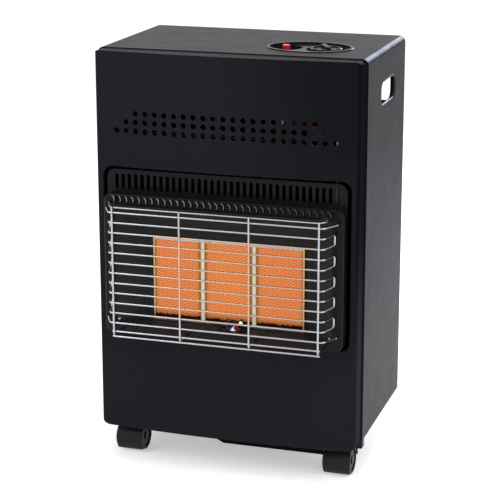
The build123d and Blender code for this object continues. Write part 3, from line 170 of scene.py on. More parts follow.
class Graph(Tree):
    """One material's node tree, with the patterns that the finishes are made of."""

    def __init__(self, name: str) -> None:
        """Start a material with a principled shader wired to its output.

        Args:
            name: The material's name.
        """
        self.material = bpy.data.materials.new(name)
        super().__init__(self.material)
        output = self.node("ShaderNodeOutputMaterial")
        self.shader = self.node("ShaderNodeBsdfPrincipled")
        self.join(self.shader.outputs[0], output.inputs["Surface"])
        self._place: Socket | None = None

    def place(self) -> Socket:
        """Give the object's own coordinates, in metres.

        Returns:
            The coordinates, from one node that all patterns share.
        """
        if self._place is None:
            self._place = self.node("ShaderNodeTexCoord").outputs["Object"]
        return self._place

    def part(self, axis: Axis) -> Socket:
        """Give one of the object's coordinates.

        Args:
            axis: Which one.

        Returns:
            The coordinate in metres.
        """
        split = self.node("ShaderNodeSeparateXYZ")
        self.join(self.place(), split.inputs[0])
        return split.outputs[axis.value]

    def stretched(self, scale: Sequence[float]) -> Socket:
        """Give the object's coordinates, each times its own factor.

        Args:
            scale: The three factors.

        Returns:
            The stretched coordinates.
        """
        mapping = self.node("ShaderNodeMapping")
        self.join(self.place(), mapping.inputs["Vector"])
        mapping.inputs["Scale"].default_value = tuple(scale)
        return mapping.outputs[0]

    def noise(self, scale: float, detail: float = 3.0, stretch: Sequence[float] = (1, 1, 1)) -> Socket:
        """Give a cloudy value between 0 and 1.

        Args:
            scale: Number of clouds to a metre.
            detail: Octaves of finer cloud.
            stretch: Factor on each axis, for brushed or drawn grain.

        Returns:
            The noise's value.
        """
        made = self.node("ShaderNodeTexNoise")
        self.join(self.stretched(stretch), made.inputs["Vector"])
        made.inputs["Scale"].default_value = scale
        made.inputs["Detail"].default_value = detail
        return made.outputs[0]

    def cloudy(
        self, cloud: Cloud, least: float = 0.0, most: float = 1.0, stretch: Sequence[float] = (1, 1, 1)
    ) -> Socket:
        """Give a cloudy pattern between two results.

        Args:
            cloud: The pattern.
            least: Result where it hasn't started.
            most: Result where it is full.
            stretch: Factor on each axis.

        Returns:
            The pattern's value.
        """
        return self.span(self.noise(cloud.scale, cloud.detail, stretch), cloud.low, cloud.high, least, most)

    def times(self, first: Socket | float, second: Socket | float) -> Socket:
        """Multiply two values."""
        return self.maths(Sum.MULTIPLY, first, second)

    def minus(self, first: Socket | float, second: Socket | float) -> Socket:
        """Take the second value from the first."""
        return self.maths(Sum.SUBTRACT, first, second)

    def away(self, axis: Axis) -> Socket:
        """Give the distance from the middle along an axis."""
        return self.maths(Sum.ABSOLUTE, self.part(axis))

    def span(self, value: Socket, low: float, high: float, least: float = 0.0, most: float = 1.0) -> Socket:
        """Map a value's range on to another, clamped and smooth at both ends.

        Args:
            value: What is mapped.
            low: Where the range starts.
            high: Where the range ends.
            least: Result at the start.
            most: Result at the end.

        Returns:
            The mapped value.
        """
        made = self.node("ShaderNodeMapRange", interpolation_type="SMOOTHSTEP")
        self.join(value, made.inputs["Value"])
        for name, number in (("From Min", low), ("From Max", high), ("To Min", least), ("To Max", most)):
            made.inputs[name].default_value = number
        return made.outputs[0]

    def blend(self, amount: Socket | float, first: Socket | Colour, second: Socket | Colour) -> Socket:
        """Mix two colours.

        Args:
            amount: 0 for the first colour, 1 for the second.
            first: First colour or socket.
            second: Second colour or socket.

        Returns:
            The mixed colour.
        """
        made = self.node("ShaderNodeMix", data_type="RGBA")
        self.join(amount, made.inputs[0])
        for source, target in ((first, made.inputs[6]), (second, made.inputs[7])):
            self.join(source if isinstance(source, bpy.types.NodeSocket) else (*source, 1.0), target)
        return made.outputs[2]

    def relief(self, height: Socket, depth: float, under: Socket | None = None) -> Socket:
        """Turn a height into a bumped normal.

        Args:
            height: Height between 0 and 1.
            depth: Metres that one unit of height stands for.
            under: Normal of the relief below this one.

        Returns:
            The bumped normal.
        """
        made = self.node("ShaderNodeBump")
        made.inputs["Strength"].default_value = 1.0
        made.inputs["Distance"].default_value = depth
        self.join(height, made.inputs["Height"])
        if under is not None:
            self.join(under, made.inputs["Normal"])
        return made.outputs[0]

    def edges(self, radius: float) -> Socket:
        """Give 0 on flats and up to 1 on sharp edges.

        The normal rounded over the radius is set against the true one: 1 less their dot product.

        Args:
            radius: Radius in metres.

        Returns:
            The sharpness.
        """
        soft = self.node("ShaderNodeBevel", samples=4)
        soft.inputs["Radius"].default_value = radius
        hard = self.node("ShaderNodeNewGeometry").outputs["True Normal"]
        product = self.node("ShaderNodeVectorMath", operation="DOT_PRODUCT")
        self.join(soft.outputs[0], product.inputs[0])
        self.join(hard, product.inputs[1])
        return self.maths(Sum.SUBTRACT, 1.0, product.outputs["Value"], clamp=True)


@dataclass(frozen=True)
class Finish:
    """A surface: its colours, gloss and relief, the base of every finish here.

    Attributes:
        name: Material name, one of the record's slots or a piece's own.
        colour: Main colour.
        second: Colour that the clouds drift towards.
        rough: Lowest and highest roughness.
        drift: How far the colour drifts, 0 to 1.
        metal: 1 for bare metal.
        coat: Weight of the clear gloss over it.
        grain: Cells of fine texture to a metre.
        depth: Depth of that texture in metres.
        stretch: Factor on each axis of the texture, for drawn or rolled grain.
        edge_wear_and_highlight_colour: Colour of pale sharp edges: bare metal showing through by rubbing on
            some finishes, painted highlight on others.
        edge_wear_and_highlight: How pale the sharp edges are, 0 for none: rubbing on some finishes, painted
            highlight on others.
        specular: Specular level, 0.5 for most surfaces.
        index: Index of refraction; low for a paint that reflects little at a slant.
        broad: Broad clouds of the drift to a metre.
        fine: Its fine clouds to a metre.
        share: Share of the fine clouds.
        turn: Values of the mixed clouds between which the colour drifts.
        smudges: Pattern of the duller smudges.
        edge_wear_and_highlight_stretches: Pattern of the stretches of edge that turn pale.
        corner: Radius over which an edge turns pale.
        sharp: How sharp an edge is where its paleness starts, and where it is full.
        gloss_rough: Roughness of the clear gloss.
    """

    name: str
    colour: Colour
    second: Colour
    rough: Pair
    drift: float = 0.5
    metal: float = 0.0
    coat: float = 0.0
    grain: float = 900.0
    depth: float = 0.00001
    stretch: tuple[float, float, float] = (1.0, 1.0, 1.0)
    edge_wear_and_highlight_colour: Colour = (0.3, 0.3, 0.31)
    edge_wear_and_highlight: float = 0.0
    specular: float = 0.5
    index: float = 1.5
    broad: float = 9.0
    fine: float = 160.0
    share: float = 0.4
    turn: Pair = (0.35, 0.65)
    smudges: Cloud = Cloud(26.0, 5.0, 0.32, 0.7)
    edge_wear_and_highlight_stretches: Cloud = Cloud(70.0, 4.0, 0.45, 0.7)
    corner: float = 0.0012
    sharp: Pair = (0.05, 0.35)
    gloss_rough: float = 0.12

    def tint(self, graph: Graph) -> Socket:
        """Give the surface's colour: broad and fine clouds between two colours.

        Args:
            graph: The material.

        Returns:
            The colour.
        """
        broad = graph.times(graph.noise(self.broad, 3.0), 1 - self.share)
        fine = graph.noise(self.fine, 4.0, self.stretch)
        amount = graph.maths(Sum.MULTIPLY_ADD, fine, self.share, broad)
        return graph.blend(graph.span(amount, *self.turn, 0.0, self.drift), self.colour, self.second)

    def gloss(self, graph: Graph) -> Socket:
        """Give the roughness, higher in faint smudges."""
        return graph.cloudy(self.smudges, *self.rough, self.stretch)

    def relief(self, graph: Graph) -> Socket:
        """Give the bumped normal of the fine texture."""
        return graph.relief(graph.noise(self.grain, 2.0, self.stretch), self.depth)

    def edge_wear_and_highlight_mask(self, graph: Graph) -> Socket:
        """Give how pale the sharp edges are, in uneven stretches: rubbing, and painted highlight on some
        finishes.
        """
        sharp = graph.span(graph.edges(self.corner), *self.sharp)
        return graph.times(graph.times(sharp, graph.cloudy(self.edge_wear_and_highlight_stretches)), self.edge_wear_and_highlight)

    def build(self) -> bpy.types.Material:
        """Make the material.

        Returns:
            A node material with drifting colour, uneven gloss and fine relief.
        """
        graph = Graph(self.name)
        shade = graph.shader.inputs
        colour = self.tint(graph)
        # Pale sharp edges: rubbing on some finishes, painted highlight on others.
        if self.edge_wear_and_highlight > 0:
            colour = graph.blend(self.edge_wear_and_highlight_mask(graph), colour, self.edge_wear_and_highlight_colour)
        graph.join(colour, shade["Base Color"])
        graph.join(self.gloss(graph), shade["Roughness"])
        graph.join(self.relief(graph), shade["Normal"])
        shade["Metallic"].default_value = self.metal
        shade["Specular IOR Level"].default_value = self.specular
        shade["IOR"].default_value = self.index
        shade["Coat Weight"].default_value = self.coat
        shade["Coat Roughness"].default_value = self.gloss_rough
        self.extra(graph)
        return graph.material

    def extra(self, graph: Graph) -> None:
        """Add what one kind of finish has beyond the others; nothing here."""


@dataclass(frozen=True)
class SatinPaint(Finish):
    """Stoved cabinet paint with orange-peel under its fine grain.

    Attributes:
        peel: Waves of orange-peel to a metre.
        wave: Depth of a wave.
    """

    peel: float = 330.0
    wave: float = 0.00003

    def relief(self, graph: Graph) -> Socket:
        """Give orange-peel of 3 mm waves under the fine grain."""
        peel = graph.relief(graph.noise(self.peel, 1.0), self.wave)
        return graph.relief(graph.noise(self.grain, 2.0), self.depth, under=peel)


@dataclass(frozen=True)
class PanelPaint(SatinPaint):
    """The front panel's paint, with painted shade up its right return and towards its upper right corner.

    Attributes:
        painted_shade: Colour of the painted shade.
        side: Where the right return starts, and where it is reached.
        rise: Heights between which the return's painted shade grows, and its full strength.
        across: Places across the panel between which the corner's painted shade grows, and its strength.
        up: Heights between which it grows.
    """

    painted_shade: Colour = (0.0035, 0.0034, 0.0045)
    side: Pair = (0.2185, 0.2215)
    rise: tuple[float, float, float] = (0.18, 0.48, 0.85)
    across: tuple[float, float, float] = (-0.05, 0.22, 0.6)
    up: Pair = (0.40, 0.62)

    def shadow(self, graph: Graph) -> Socket:
        """Give the return's painted shade: full in its upper half, none at its foot.

        Args:
            graph: The material.

        Returns:
            The painted shade's strength, 0 to 1.
        """
        low, high, most = self.rise
        right = graph.span(graph.part(Axis.X), *self.side)
        return graph.times(right, graph.span(graph.part(Axis.Z), low, high, 0.0, most))

    def tint(self, graph: Graph) -> Socket:
        """Give the paint's colour, darker where shade is painted on it.

        Args:
            graph: The material.

        Returns:
            The colour.
        """
        # Painted shade: darker towards the upper right corner and up the right return.
        left, right, most = self.across
        sideways = graph.span(graph.part(Axis.X), left, right, 0.0, most)
        corner = graph.times(sideways, graph.span(graph.part(Axis.Z), *self.up))
        amount = graph.maths(Sum.MAXIMUM, corner, self.shadow(graph))
        return graph.blend(amount, super().tint(graph), self.painted_shade)

    def extra(self, graph: Graph) -> None:
        """Take the reflections off the return where shade is painted on it."""
        # Painted shade: the return reflects less the higher it is.
        level = graph.maths(Sum.MULTIPLY_ADD, self.shadow(graph), -self.specular, self.specular)
        graph.join(level, graph.shader.inputs["Specular IOR Level"])


@dataclass(frozen=True)
class CasingPaint(SatinPaint):
    """The casing's paint, with painted shade on its sides: they reflect less at half height than at the foot
    and the top.

    Attributes:
        levels: Strength of reflection at the foot, at half height and under the top.
        falls: Heights between which it falls to half height's.
        rises: Heights between which it rises again.
        lid: Height at which the top face starts, and at which it is reached.
    """

    levels: tuple[float, float, float] = (0.54, 0.27, 0.40)
    falls: Pair = (0.15, 0.48)
    rises: Pair = (0.52, 0.69)
    lid: Pair = (0.7035, 0.7070)

    def extra(self, graph: Graph) -> None:
        """Paint shade into the reflection by height, and leave it whole on the top face.

        Args:
            graph: The material.
        """
        # Painted shade: the sides' reflection is weaker at half height than at the foot and under the top.
        foot, middle, under = self.levels
        high = graph.part(Axis.Z)
        lower = graph.span(high, *self.falls, foot, middle)
        upper = graph.span(high, *self.rises, middle, under)
        top = graph.span(high, *self.lid, 0.0, self.specular)
        level = graph.maths(Sum.MAXIMUM, graph.maths(Sum.MAXIMUM, lower, upper), top)
        graph.join(level, graph.shader.inputs["Specular IOR Level"])


@dataclass(frozen=True)
class BareMetal(Finish):
    """Metal without paint, bare or plated.

    Attributes:
        metal: 1, as it is metal all over.
    """

    metal: float = 1.0


@dataclass(frozen=True)
class DrawnWire(BareMetal):
    """Bright plated wire, with the plaques' orange light painted on it in front of them and painted shade on
    the returns that bend back on the right.

    Attributes:
        spots: Pattern of the greyer spots.
        straw: Colour of the plaques' light, painted on the plating in front of them.
        across: Left and right end of that field.
        up: Its lower and upper end.
        returns: Y at which the painted shade on the wires that bend back on the right starts, and where it
            ends.
        right: X at which the right returns start, and at which they are reached.
        upper: Height of one pair's upper wire.
        pitch: Distance between neighbouring wires.
        near: Distances from an upper wire between which the painted shade falls.
        painted_shade: Strength of the painted shade on an upper wire and on a lower one.
        shaded: Colour of the painted shade there.
        soft: Softness of the ends of the field of painted light.
        brief: Softness of the ends of the painted shade's stretch.
    """

    spots: Cloud = Cloud(420.0, 5.0, 0.56, 0.72)
    straw: Colour = (0.52, 0.36, 0.26)
    across: Pair = (-0.106, 0.158)
    up: Pair = (0.284, 0.428)
    returns: Pair = (-0.1955, -0.1735)
    right: Pair = (0.17, 0.18)
    upper: float = 0.43685
    pitch: float = 0.01715
    near: Pair = (0.004, 0.007)
    painted_shade: Pair = (0.95, 0.5)
    shaded: Colour = (0.03, 0.03, 0.032)
    soft: float = 0.005
    brief: float = 0.0012

    def field(self, graph: Graph, axis: Axis, ends: Pair, soft: float) -> Socket:
        """Give 1 between two places on an axis and 0 outside, with soft ends.

        Args:
            graph: The material.
            axis: The axis.
            ends: The two places.
            soft: Half length of a soft end.

        Returns:
            The value.
        """
        low, high = ends
        place = graph.part(axis)
        start = graph.span(place, low - soft, low + soft)
        return graph.times(start, graph.span(place, high + soft, high - soft))

    def tint(self, graph: Graph) -> Socket:
        """Give bright plating, greyer in small spots, with the plaques' light painted on it in their field
        and painted shade on the right returns.

        Args:
            graph: The material.

        Returns:
            The colour.
        """
        plating = graph.blend(graph.cloudy(self.spots, 0.0, self.drift), self.colour, self.second)
        # Painted light: the plaques' orange light laid on the wires in front of them.
        sideways = self.field(graph, Axis.X, self.across, self.soft)
        painted_plaque_light = graph.times(sideways, self.field(graph, Axis.Z, self.up, self.soft))
        return graph.blend(self.shade(graph), graph.blend(painted_plaque_light, plating, self.straw), self.shaded)

    def shade(self, graph: Graph) -> Socket:
        """Give the right returns' painted shade: strong on a pair's upper wire, half on its lower one.

        Args:
            graph: The material.

        Returns:
            The painted shade's strength, none on the link of a pair.
        """
        # Painted shade on the returns that bend back on the right.
        phase = graph.maths(Sum.PINGPONG, graph.minus(graph.part(Axis.Z), self.upper), self.pitch)
        strength = graph.span(phase, *self.near, *self.painted_shade)
        side = graph.times(graph.span(graph.part(Axis.X), *self.right), strength)
        return graph.times(self.field(graph, Axis.Y, self.returns, self.brief), side)


@dataclass(frozen=True)
class Spangle(BareMetal):
    """Galvanised sheet whose zinc has grown in flat crystals.

    Attributes:
        crystals: Crystals to a metre.
    """

    crystals: float = 110.0

    def tint(self, graph: Graph) -> Socket:
        """Give each crystal its own grey.

        Args:
            graph: The material.

        Returns:
            The colour.
        """
        made = graph.node("ShaderNodeTexVoronoi")
        graph.join(graph.place(), made.inputs["Vector"])
        made.inputs["Scale"].default_value = self.crystals
        flake = graph.node("ShaderNodeSeparateColor")
        graph.join(made.outputs["Color"], flake.inputs[0])
        amount = graph.span(flake.outputs[0], 0.0, 1.0, 0.0, self.drift)
        return graph.blend(amount, self.colour, self.second)


@dataclass(frozen=True)
class LitPlaque(Finish):
    """Radiant ceramic plaque at work: fine ports and wider pits in a glowing orange face.

    Attributes:
        pitch: Distance between neighbouring pits in metres.
        port: Distance between the fine ports.
        holes: Products of the lattice between which a port's soft edge lies.
        dark: The same for a pit's darker colour.
        hollow: The same for its hollow.
        warm: The same for its browner light.
        sunk: Depth of a port and of a pit.
        half: Half width of a plaque.
        brown: Distances from a plaque's side between which it turns browner.
        step: Distance between the plaques' middles.
        low: Height of the cooler lower edge.
        border: How far the edge's soft border reaches over and under that height.
        ragged: How far the border wanders up and down.
        cold: Colour of the unlit edge.
        foot: Height over that edge up to which the face is browner.
        front: Y between which the face turns into the sides.
        middle: Distances from the heater's middle between which the face is yellower.
        clouds: Pattern of the warm clouds.
        specks: Pattern of the redder specks.
        glow: Strength of the light that the face gives.
    """

    pitch: float = 0.0052
    port: float = 0.0013
    holes: Pair = (0.1, 0.7)
    dark: Pair = (0.6, 0.9)
    hollow: Pair = (0.45, 0.8)
    warm: Pair = (0.2, 0.8)
    sunk: Pair = (0.0002, 0.0006)
    half: float = 0.0405
    brown: Pair = (0.0095, 0.001)
    step: float = 0.0895
    low: float = 0.2644
    border: Pair = (0.0014, -0.0010)
    ragged: float = 0.009
    cold: Colour = tone("17120f")
    foot: float = 0.010
    front: Pair = (-0.1255, -0.1245)
    middle: Pair = (0.034, 0.018)
    clouds: Cloud = Cloud(34.0, 4.0, 0.38, 0.66)
    specks: Cloud = Cloud(520.0, 2.0, 0.42, 0.6)
    glow: float = 0.66

    def lattice(self, graph: Graph, pitch: float, low: float, high: float) -> Socket:
        """Give 1 inside each point of an even triangular lattice and 0 between.

        Cosine of x over pitch times the root of three, times cosine of z over pitch: both signs
        agree at the lattice's points, so the product peaks there.

        Args:
            graph: The material.
            pitch: Distance between neighbours in metres.
            low: Product at which a point's soft edge starts.
            high: Product at which it ends.

        Returns:
            The pattern.
        """
        turn = 2 * math.pi / pitch
        x = graph.times(graph.part(Axis.X), turn / math.sqrt(3))
        z = graph.times(graph.part(Axis.Z), turn)
        product = graph.times(graph.maths(Sum.COSINE, x), graph.maths(Sum.COSINE, z))
        return graph.span(product, low, high)

    def ports(self, graph: Graph) -> Socket:
        """Give 1 inside each fine port."""
        return self.lattice(graph, self.port, *self.holes)

    def beside(self, graph: Graph) -> Socket:
        """Give the distance sideways from the middle of the nearest plaque."""
        row = graph.maths(Sum.ADD, graph.part(Axis.X), 10 * self.step)
        return graph.maths(Sum.ABSOLUTE, graph.maths(Sum.PINGPONG, row, self.step / 2))

    def unlit(self, graph: Graph) -> Socket:
        """Give 1 on the cold lower edge, whose border is ragged by a millimetre or two.

        Args:
            graph: The material.

        Returns:
            The value, 0 on the lit face.
        """
        uneven = graph.minus(graph.noise(330.0, 4.0), 0.5)
        height = graph.maths(Sum.MULTIPLY_ADD, uneven, self.ragged, graph.part(Axis.Z))
        return graph.span(height, *(self.low + reach for reach in self.border))

    def tint(self, graph: Graph) -> Socket:
        """Give the ceramic's orange between darker pits and ports, and its cold lower edge.

        Args:
            graph: The material.

        Returns:
            The colour.
        """
        fine = graph.blend(graph.times(self.ports(graph), 0.4), self.colour, self.second)
        pitted = graph.blend(self.lattice(graph, self.pitch, *self.dark), fine, self.second)
        return graph.blend(self.unlit(graph), pitted, self.cold)

    def relief(self, graph: Graph) -> Socket:
        """Sink pits and ports into the face.

        Args:
            graph: The material.

        Returns:
            The bumped normal.
        """
        port, pit = self.sunk
        fine = graph.relief(graph.minus(1.0, self.ports(graph)), port)
        pits = graph.minus(1.0, self.lattice(graph, self.pitch, *self.hollow))
        return graph.relief(pits, pit, under=fine)

    def heat(self, graph: Graph) -> Socket:
        """Give the light's colour: yellower in warm clouds, browner at pits, sides and lower edge.

        Args:
            graph: The material.

        Returns:
            The colour of the light.
        """
        middle = graph.span(graph.away(Axis.X), *self.middle)
        cloud = graph.times(graph.cloudy(self.clouds), 0.4)
        warmth = graph.maths(Sum.MULTIPLY_ADD, middle, 0.6, cloud, clamp=True)
        heat = graph.blend(warmth, tone("f98f5a"), tone("fe9e52"))
        outer, inner = (self.half - gap for gap in self.brown)
        over = graph.part(Axis.Z)
        for amount, colour in (
            (graph.times(graph.cloudy(self.specks), 0.35), "f08660"),
            (self.lattice(graph, self.pitch, *self.warm), "b0642a"),
            (graph.times(self.ports(graph), 0.2), "cc7e3c"),
            (graph.span(self.beside(graph), outer, inner, 0.0, 0.9), "b08250"),
            (graph.span(over, self.low + self.foot, self.low, 0.0, 0.9), "8f5c34"),
        ):
            heat = graph.blend(amount, heat, tone(colour))
        return heat

    def extra(self, graph: Graph) -> None:
        """Light the front face over its cold edge.

        Args:
            graph: The material.
        """
        shade = graph.shader.inputs
        front = graph.span(graph.part(Axis.Y), *self.front, 1.0, 0.0)
        lit = graph.times(graph.minus(1.0, self.unlit(graph)), front)
        graph.join(self.heat(graph), shade["Emission Color"])
        graph.join(graph.times(lit, self.glow), shade["Emission Strength"])


@dataclass(frozen=True)
class Fibre(Finish):
    """Soft ceramic-fibre strip, golden along its edges, with a painted glow of its own.

    Attributes:
        middle: Distance of a strip's middle from the plane of symmetry.
        pale: Half width that is pale, and half width at which the edge is fully golden.
        golden_edge: Colour of the edges.
        lit: Colour of the pale part's painted glow.
        glow: Strength of the painted glow.
    """

    middle: float = 0.04475
    pale: Pair = (0.0020, 0.0032)
    golden_edge: Colour = (0.36, 0.24, 0.085)
    lit: Colour = tone("e8e4da")
    glow: float = 0.3

    def edge(self, graph: Graph) -> Socket:
        """Give 1 on the edges: the distance from the nearer strip's middle beyond the pale part."""
        away = graph.maths(Sum.ABSOLUTE, graph.minus(graph.away(Axis.X), self.middle))
        return graph.span(away, *self.pale)

    def tint(self, graph: Graph) -> Socket:
        """Give pale fibre between golden edges."""
        return graph.blend(self.edge(graph), super().tint(graph), self.golden_edge)

    def extra(self, graph: Graph) -> None:
        """Give the strip a painted glow, pale in the middle and golden at its edges.

        Args:
            graph: The material.
        """
        # Painted glow: the strip gives pale light of its own, golden at its edges.
        shade = graph.shader.inputs
        graph.join(graph.blend(self.edge(graph), self.lit, self.golden_edge), shade["Emission Color"])
        shade["Emission Strength"].default_value = self.glow


@dataclass(frozen=True)
class HotFrame(BareMetal):
    """Bright sheet frame whose two sides, next to the plaques, have gone straw-coloured.

    Attributes:
        start: Distance from the plane of symmetry where a side starts, and where it is reached.
        straw: Colour of the sides.
    """

    start: Pair = (0.1282, 0.1292)
    straw: Colour = (0.5, 0.36, 0.15)

    def tint(self, graph: Graph) -> Socket:
        """Give bright sheet with straw-coloured sides."""
        side = graph.span(graph.away(Axis.X), *self.start)
        return graph.blend(side, super().tint(graph), self.straw)


@dataclass(frozen=True)
class PaintedHighlightEdge(Finish):
    """Painted highlight along edges of sheet: pale, and dimmer towards the right.

    Attributes:
        ends: Where the painted highlight starts to dim, and where it has.
        faint: Colour of the dimmer painted highlight.
    """

    ends: Pair = (-0.06, 0.15)
    faint: Colour = (0.11, 0.11, 0.125)

    def tint(self, graph: Graph) -> Socket:
        """Give a pale painted highlight that dims towards the right."""
        amount = graph.span(graph.part(Axis.X), *self.ends)
        return graph.blend(amount, super().tint(graph), self.faint)


@dataclass(frozen=True)
class PaintedGlint(Finish):
    """A painted glint: a nearly white spot that gives light of its own.

    Attributes:
        light: Colour of its light.
        strength: Strength of that light.
    """

    light: Colour = tone("fff1ec")
    strength: float = 0.8

    def extra(self, graph: Graph) -> None:
        """Light it evenly.

        Args:
            graph: The material.
        """
        shade = graph.shader.inputs
        shade["Emission Color"].default_value = (*self.light, 1.0)
        shade["Emission Strength"].default_value = self.strength


@dataclass(frozen=True)
class Flame(Finish):
    """Small gas flame: a white core under a violet-blue side and a red one.

    Attributes:
        sides: Places across between which the blue side turns into the red one.
        colours: Colours of the two sides and of the core.
        middle: Place across of the core's highest point.
        slope: Fall of the core's top to each side.
        core: Heights between which the sides turn into the core.
    """

    sides: Pair = (0.0145, 0.0195)
    colours: tuple[str, str, str] = ("3a3490", "64180a", "f4efff")
    middle: float = 0.0175
    slope: float = 1.3
    core: Pair = (0.2640, 0.2600)

    def extra(self, graph: Graph) -> None:
        """Light it by its sideways place and by its height over the core's sloping top.

        Args:
            graph: The material.
        """
        shade = graph.shader.inputs
        blue, red, white = (tone(colour) for colour in self.colours)
        outer = graph.blend(graph.span(graph.part(Axis.X), *self.sides), blue, red)
        aside = graph.maths(Sum.ABSOLUTE, graph.minus(graph.part(Axis.X), self.middle))
        height = graph.maths(Sum.MULTIPLY_ADD, aside, self.slope, graph.part(Axis.Z))
        graph.join(graph.blend(graph.span(height, *self.core), outer, white), shade["Emission Color"])
        shade["Emission Strength"].default_value = 1.0


class Coats:
    """Every finish of the heater by its slot's name."""

    # Nodes whose finish differs from that of their slot.
    own = {
        "pilot_burner": "sooted_steel",
        "pilot_bracket": "sooted_steel",
        "thermocouple": "sooted_steel",
        # Painted shade: the control bracket gets a darker copy of the galvanised finish.
        "control_bracket": "painted_shade_zinc",
        "plaque_retainer": "frame_steel",
        "heat_shield": "matt_black",
        "base_tray": "matt_black",
    }

    def __init__(self) -> None:
        """Make all materials once."""
        listed = [*self.paints(), *self.metals(), *self.plastics(), *self.hot_parts()]
        self.made = {finish.name: finish.build() for finish in listed}

    @staticmethod
    def paints() -> list[Finish]:
        """Give the cabinet's paints.

        Returns:
            Their finishes.
        """
        # Pale grey of the sharp edges; on the front panel it is painted highlight.
        edge_wear_and_highlight_grey = tone("8d8d8f")
        return [
            # Painted highlight: the pale grey along the front panel's sharp edges.
            PanelPaint(
                "front_enamel", tone("212025"), tone("242328"), (0.26, 0.3),
                grain=1500.0, edge_wear_and_highlight_colour=edge_wear_and_highlight_grey, edge_wear_and_highlight=0.35, index=1.04,
            ),
            CasingPaint(
                "casing_paint", tone("1d1c20"), tone("212024"), (0.29, 0.33),
                grain=1500.0, edge_wear_and_highlight_colour=edge_wear_and_highlight_grey, edge_wear_and_highlight=0.15, index=1.075,
            ),
            SatinPaint(
                "surround_enamel", tone("121115"), tone("161519"), (0.2, 0.28),
                grain=1200.0, edge_wear_and_highlight_colour=edge_wear_and_highlight_grey, edge_wear_and_highlight=0.2, index=1.2,
            ),
            SatinPaint(
                "inner_enamel", tone("2f2f30"), tone("333232"), (0.4, 0.5), depth=0.00002, index=1.12
            ),
            Finish(
                "matt_black", tone("0e0e0e"), tone("131313"), (0.7, 0.85),
                depth=0.00002, specular=0.1, index=1.1,
            ),
            # Painted highlight for the visor lips' edges.
            PaintedHighlightEdge("painted_highlight_edge", tone("bcbcc2"), tone("9c9ca2"), (0.35, 0.45)),
        ]

    @staticmethod
    def metals() -> list[Finish]:
        """Give the bare and plated metals.

        Returns:
            Their finishes.
        """
        bright = {"grain": 500.0, "stretch": (1, 1, 8)}
        return [
            Spangle("galvanised", tone("8f9294"), tone("b6b9bb"), (0.28, 0.46), grain=500.0),
            # Painted shade: a darker copy of the galvanised finish.
            Spangle("painted_shade_zinc", tone("505254"), tone("3c3e40"), (0.5, 0.65), grain=500.0),
            DrawnWire("chromed_wire", tone("adaeb2"), tone("85858a"), (0.14, 0.26), drift=0.6, grain=700.0),
            BareMetal("bright_steel", tone("b9b7b4"), tone("94897d"), (0.22, 0.42), **bright),
            HotFrame("frame_steel", tone("b9b7b4"), tone("94897d"), (0.22, 0.42), **bright),
            BareMetal(
                "tube_steel", tone("77787a"), tone("5d5a58"), (0.35, 0.55),
                drift=0.9, grain=400.0, depth=0.00002, stretch=(6, 6, 1),
            ),
            BareMetal("brass", tone("c9a25c"), tone("9c7840"), (0.22, 0.4), stretch=(1, 1, 6)),
            BareMetal("valve_alloy", tone("77797b"), tone("606266"), (0.45, 0.6), grain=700.0, depth=0.00012),
            BareMetal("pipe_alloy", tone("c3c5c8"), tone("a4a6aa"), (0.25, 0.42), grain=500.0),
            BareMetal("copper_lead", tone("b8714c"), tone("7d4a34"), (0.3, 0.5)),
            BareMetal("screw_zinc", tone("c2c3c0"), tone("a3a49c"), (0.25, 0.4)),
        ]

    @staticmethod
    def plastics() -> list[Finish]:
        """Give the plastics and sleeves.

        Returns:
            Their finishes.
        """
        return [
            Finish("red_sleeve", tone("b3322b"), tone("8c231f"), (0.5, 0.65), grain=600.0, depth=0.00005),
            Finish("red_plastic", tone("d3171d"), tone("b80f16"), (0.18, 0.3), coat=0.3, grain=700.0),
            # Painted highlight: the pale grey along the black plastic parts' sharp edges.
            Finish(
                "black_plastic", tone("18181a"), tone("1d1d1f"), (0.2, 0.28),
                grain=1800.0, depth=0.00002, edge_wear_and_highlight_colour=tone("8a8a90"), edge_wear_and_highlight=0.8, index=1.2,
            ),
            Finish(
                "knob_plastic", tone("121213"), tone("171718"), (0.24, 0.32),
                grain=1400.0, edge_wear_and_highlight_colour=tone("55555a"), edge_wear_and_highlight=0.5, index=1.18,
            ),
            Finish(
                "caster_nylon", tone("1a1a1c"), tone("202022"), (0.35, 0.48),
                grain=1500.0, depth=0.00003, edge_wear_and_highlight_colour=tone("4a4a4c"), edge_wear_and_highlight=0.2, index=1.25,
            ),
        ]

    @staticmethod
    def hot_parts() -> list[Finish]:
        """Give the burner's ceramics, its sooted pilot parts and the flame.

        Returns:
            Their finishes.
        """
        return [
            LitPlaque(
                "plaque_ceramic", tone("9a5224"), tone("6f3a16"), (0.85, 0.95), depth=0.0004, specular=0.1
            ),
            # Painted glow on the fibre strips.
            Fibre(
                "gasket_fibre", tone("cfcabd"), tone("b7b09e"), (0.85, 0.98),
                grain=1100.0, depth=0.0003, specular=0.1,
            ),
            Finish("electrode_ceramic", tone("57524b"), tone("2c2825"), (0.3, 0.5), drift=0.9, grain=300.0),
            Finish(
                "sooted_steel", tone("2b2725"), tone("151312"), (0.45, 0.65),
                drift=0.9, metal=0.6, grain=500.0, depth=0.00002,
            ),
            # Painted glint: the white spot on the pilot probe's tip, lit from within.
            PaintedGlint("painted_glint", tone("e8d0c8"), tone("ffe8e0"), (0.8, 0.9), depth=0.00006, specular=0.1),
            Flame("flame", tone("16121e"), tone("1c1620"), (0.9, 1.0), depth=0.00006, specular=0.0),
        ]

    def coat(self, piece: bpy.types.Object, name: str) -> None:
        """Put one finish on a piece or node, in place of what it had.

        Args:
            piece: Object that gets it.
            name: The finish's name.
        """
        piece.data.materials.clear()
        piece.data.materials.append(self.made[name])

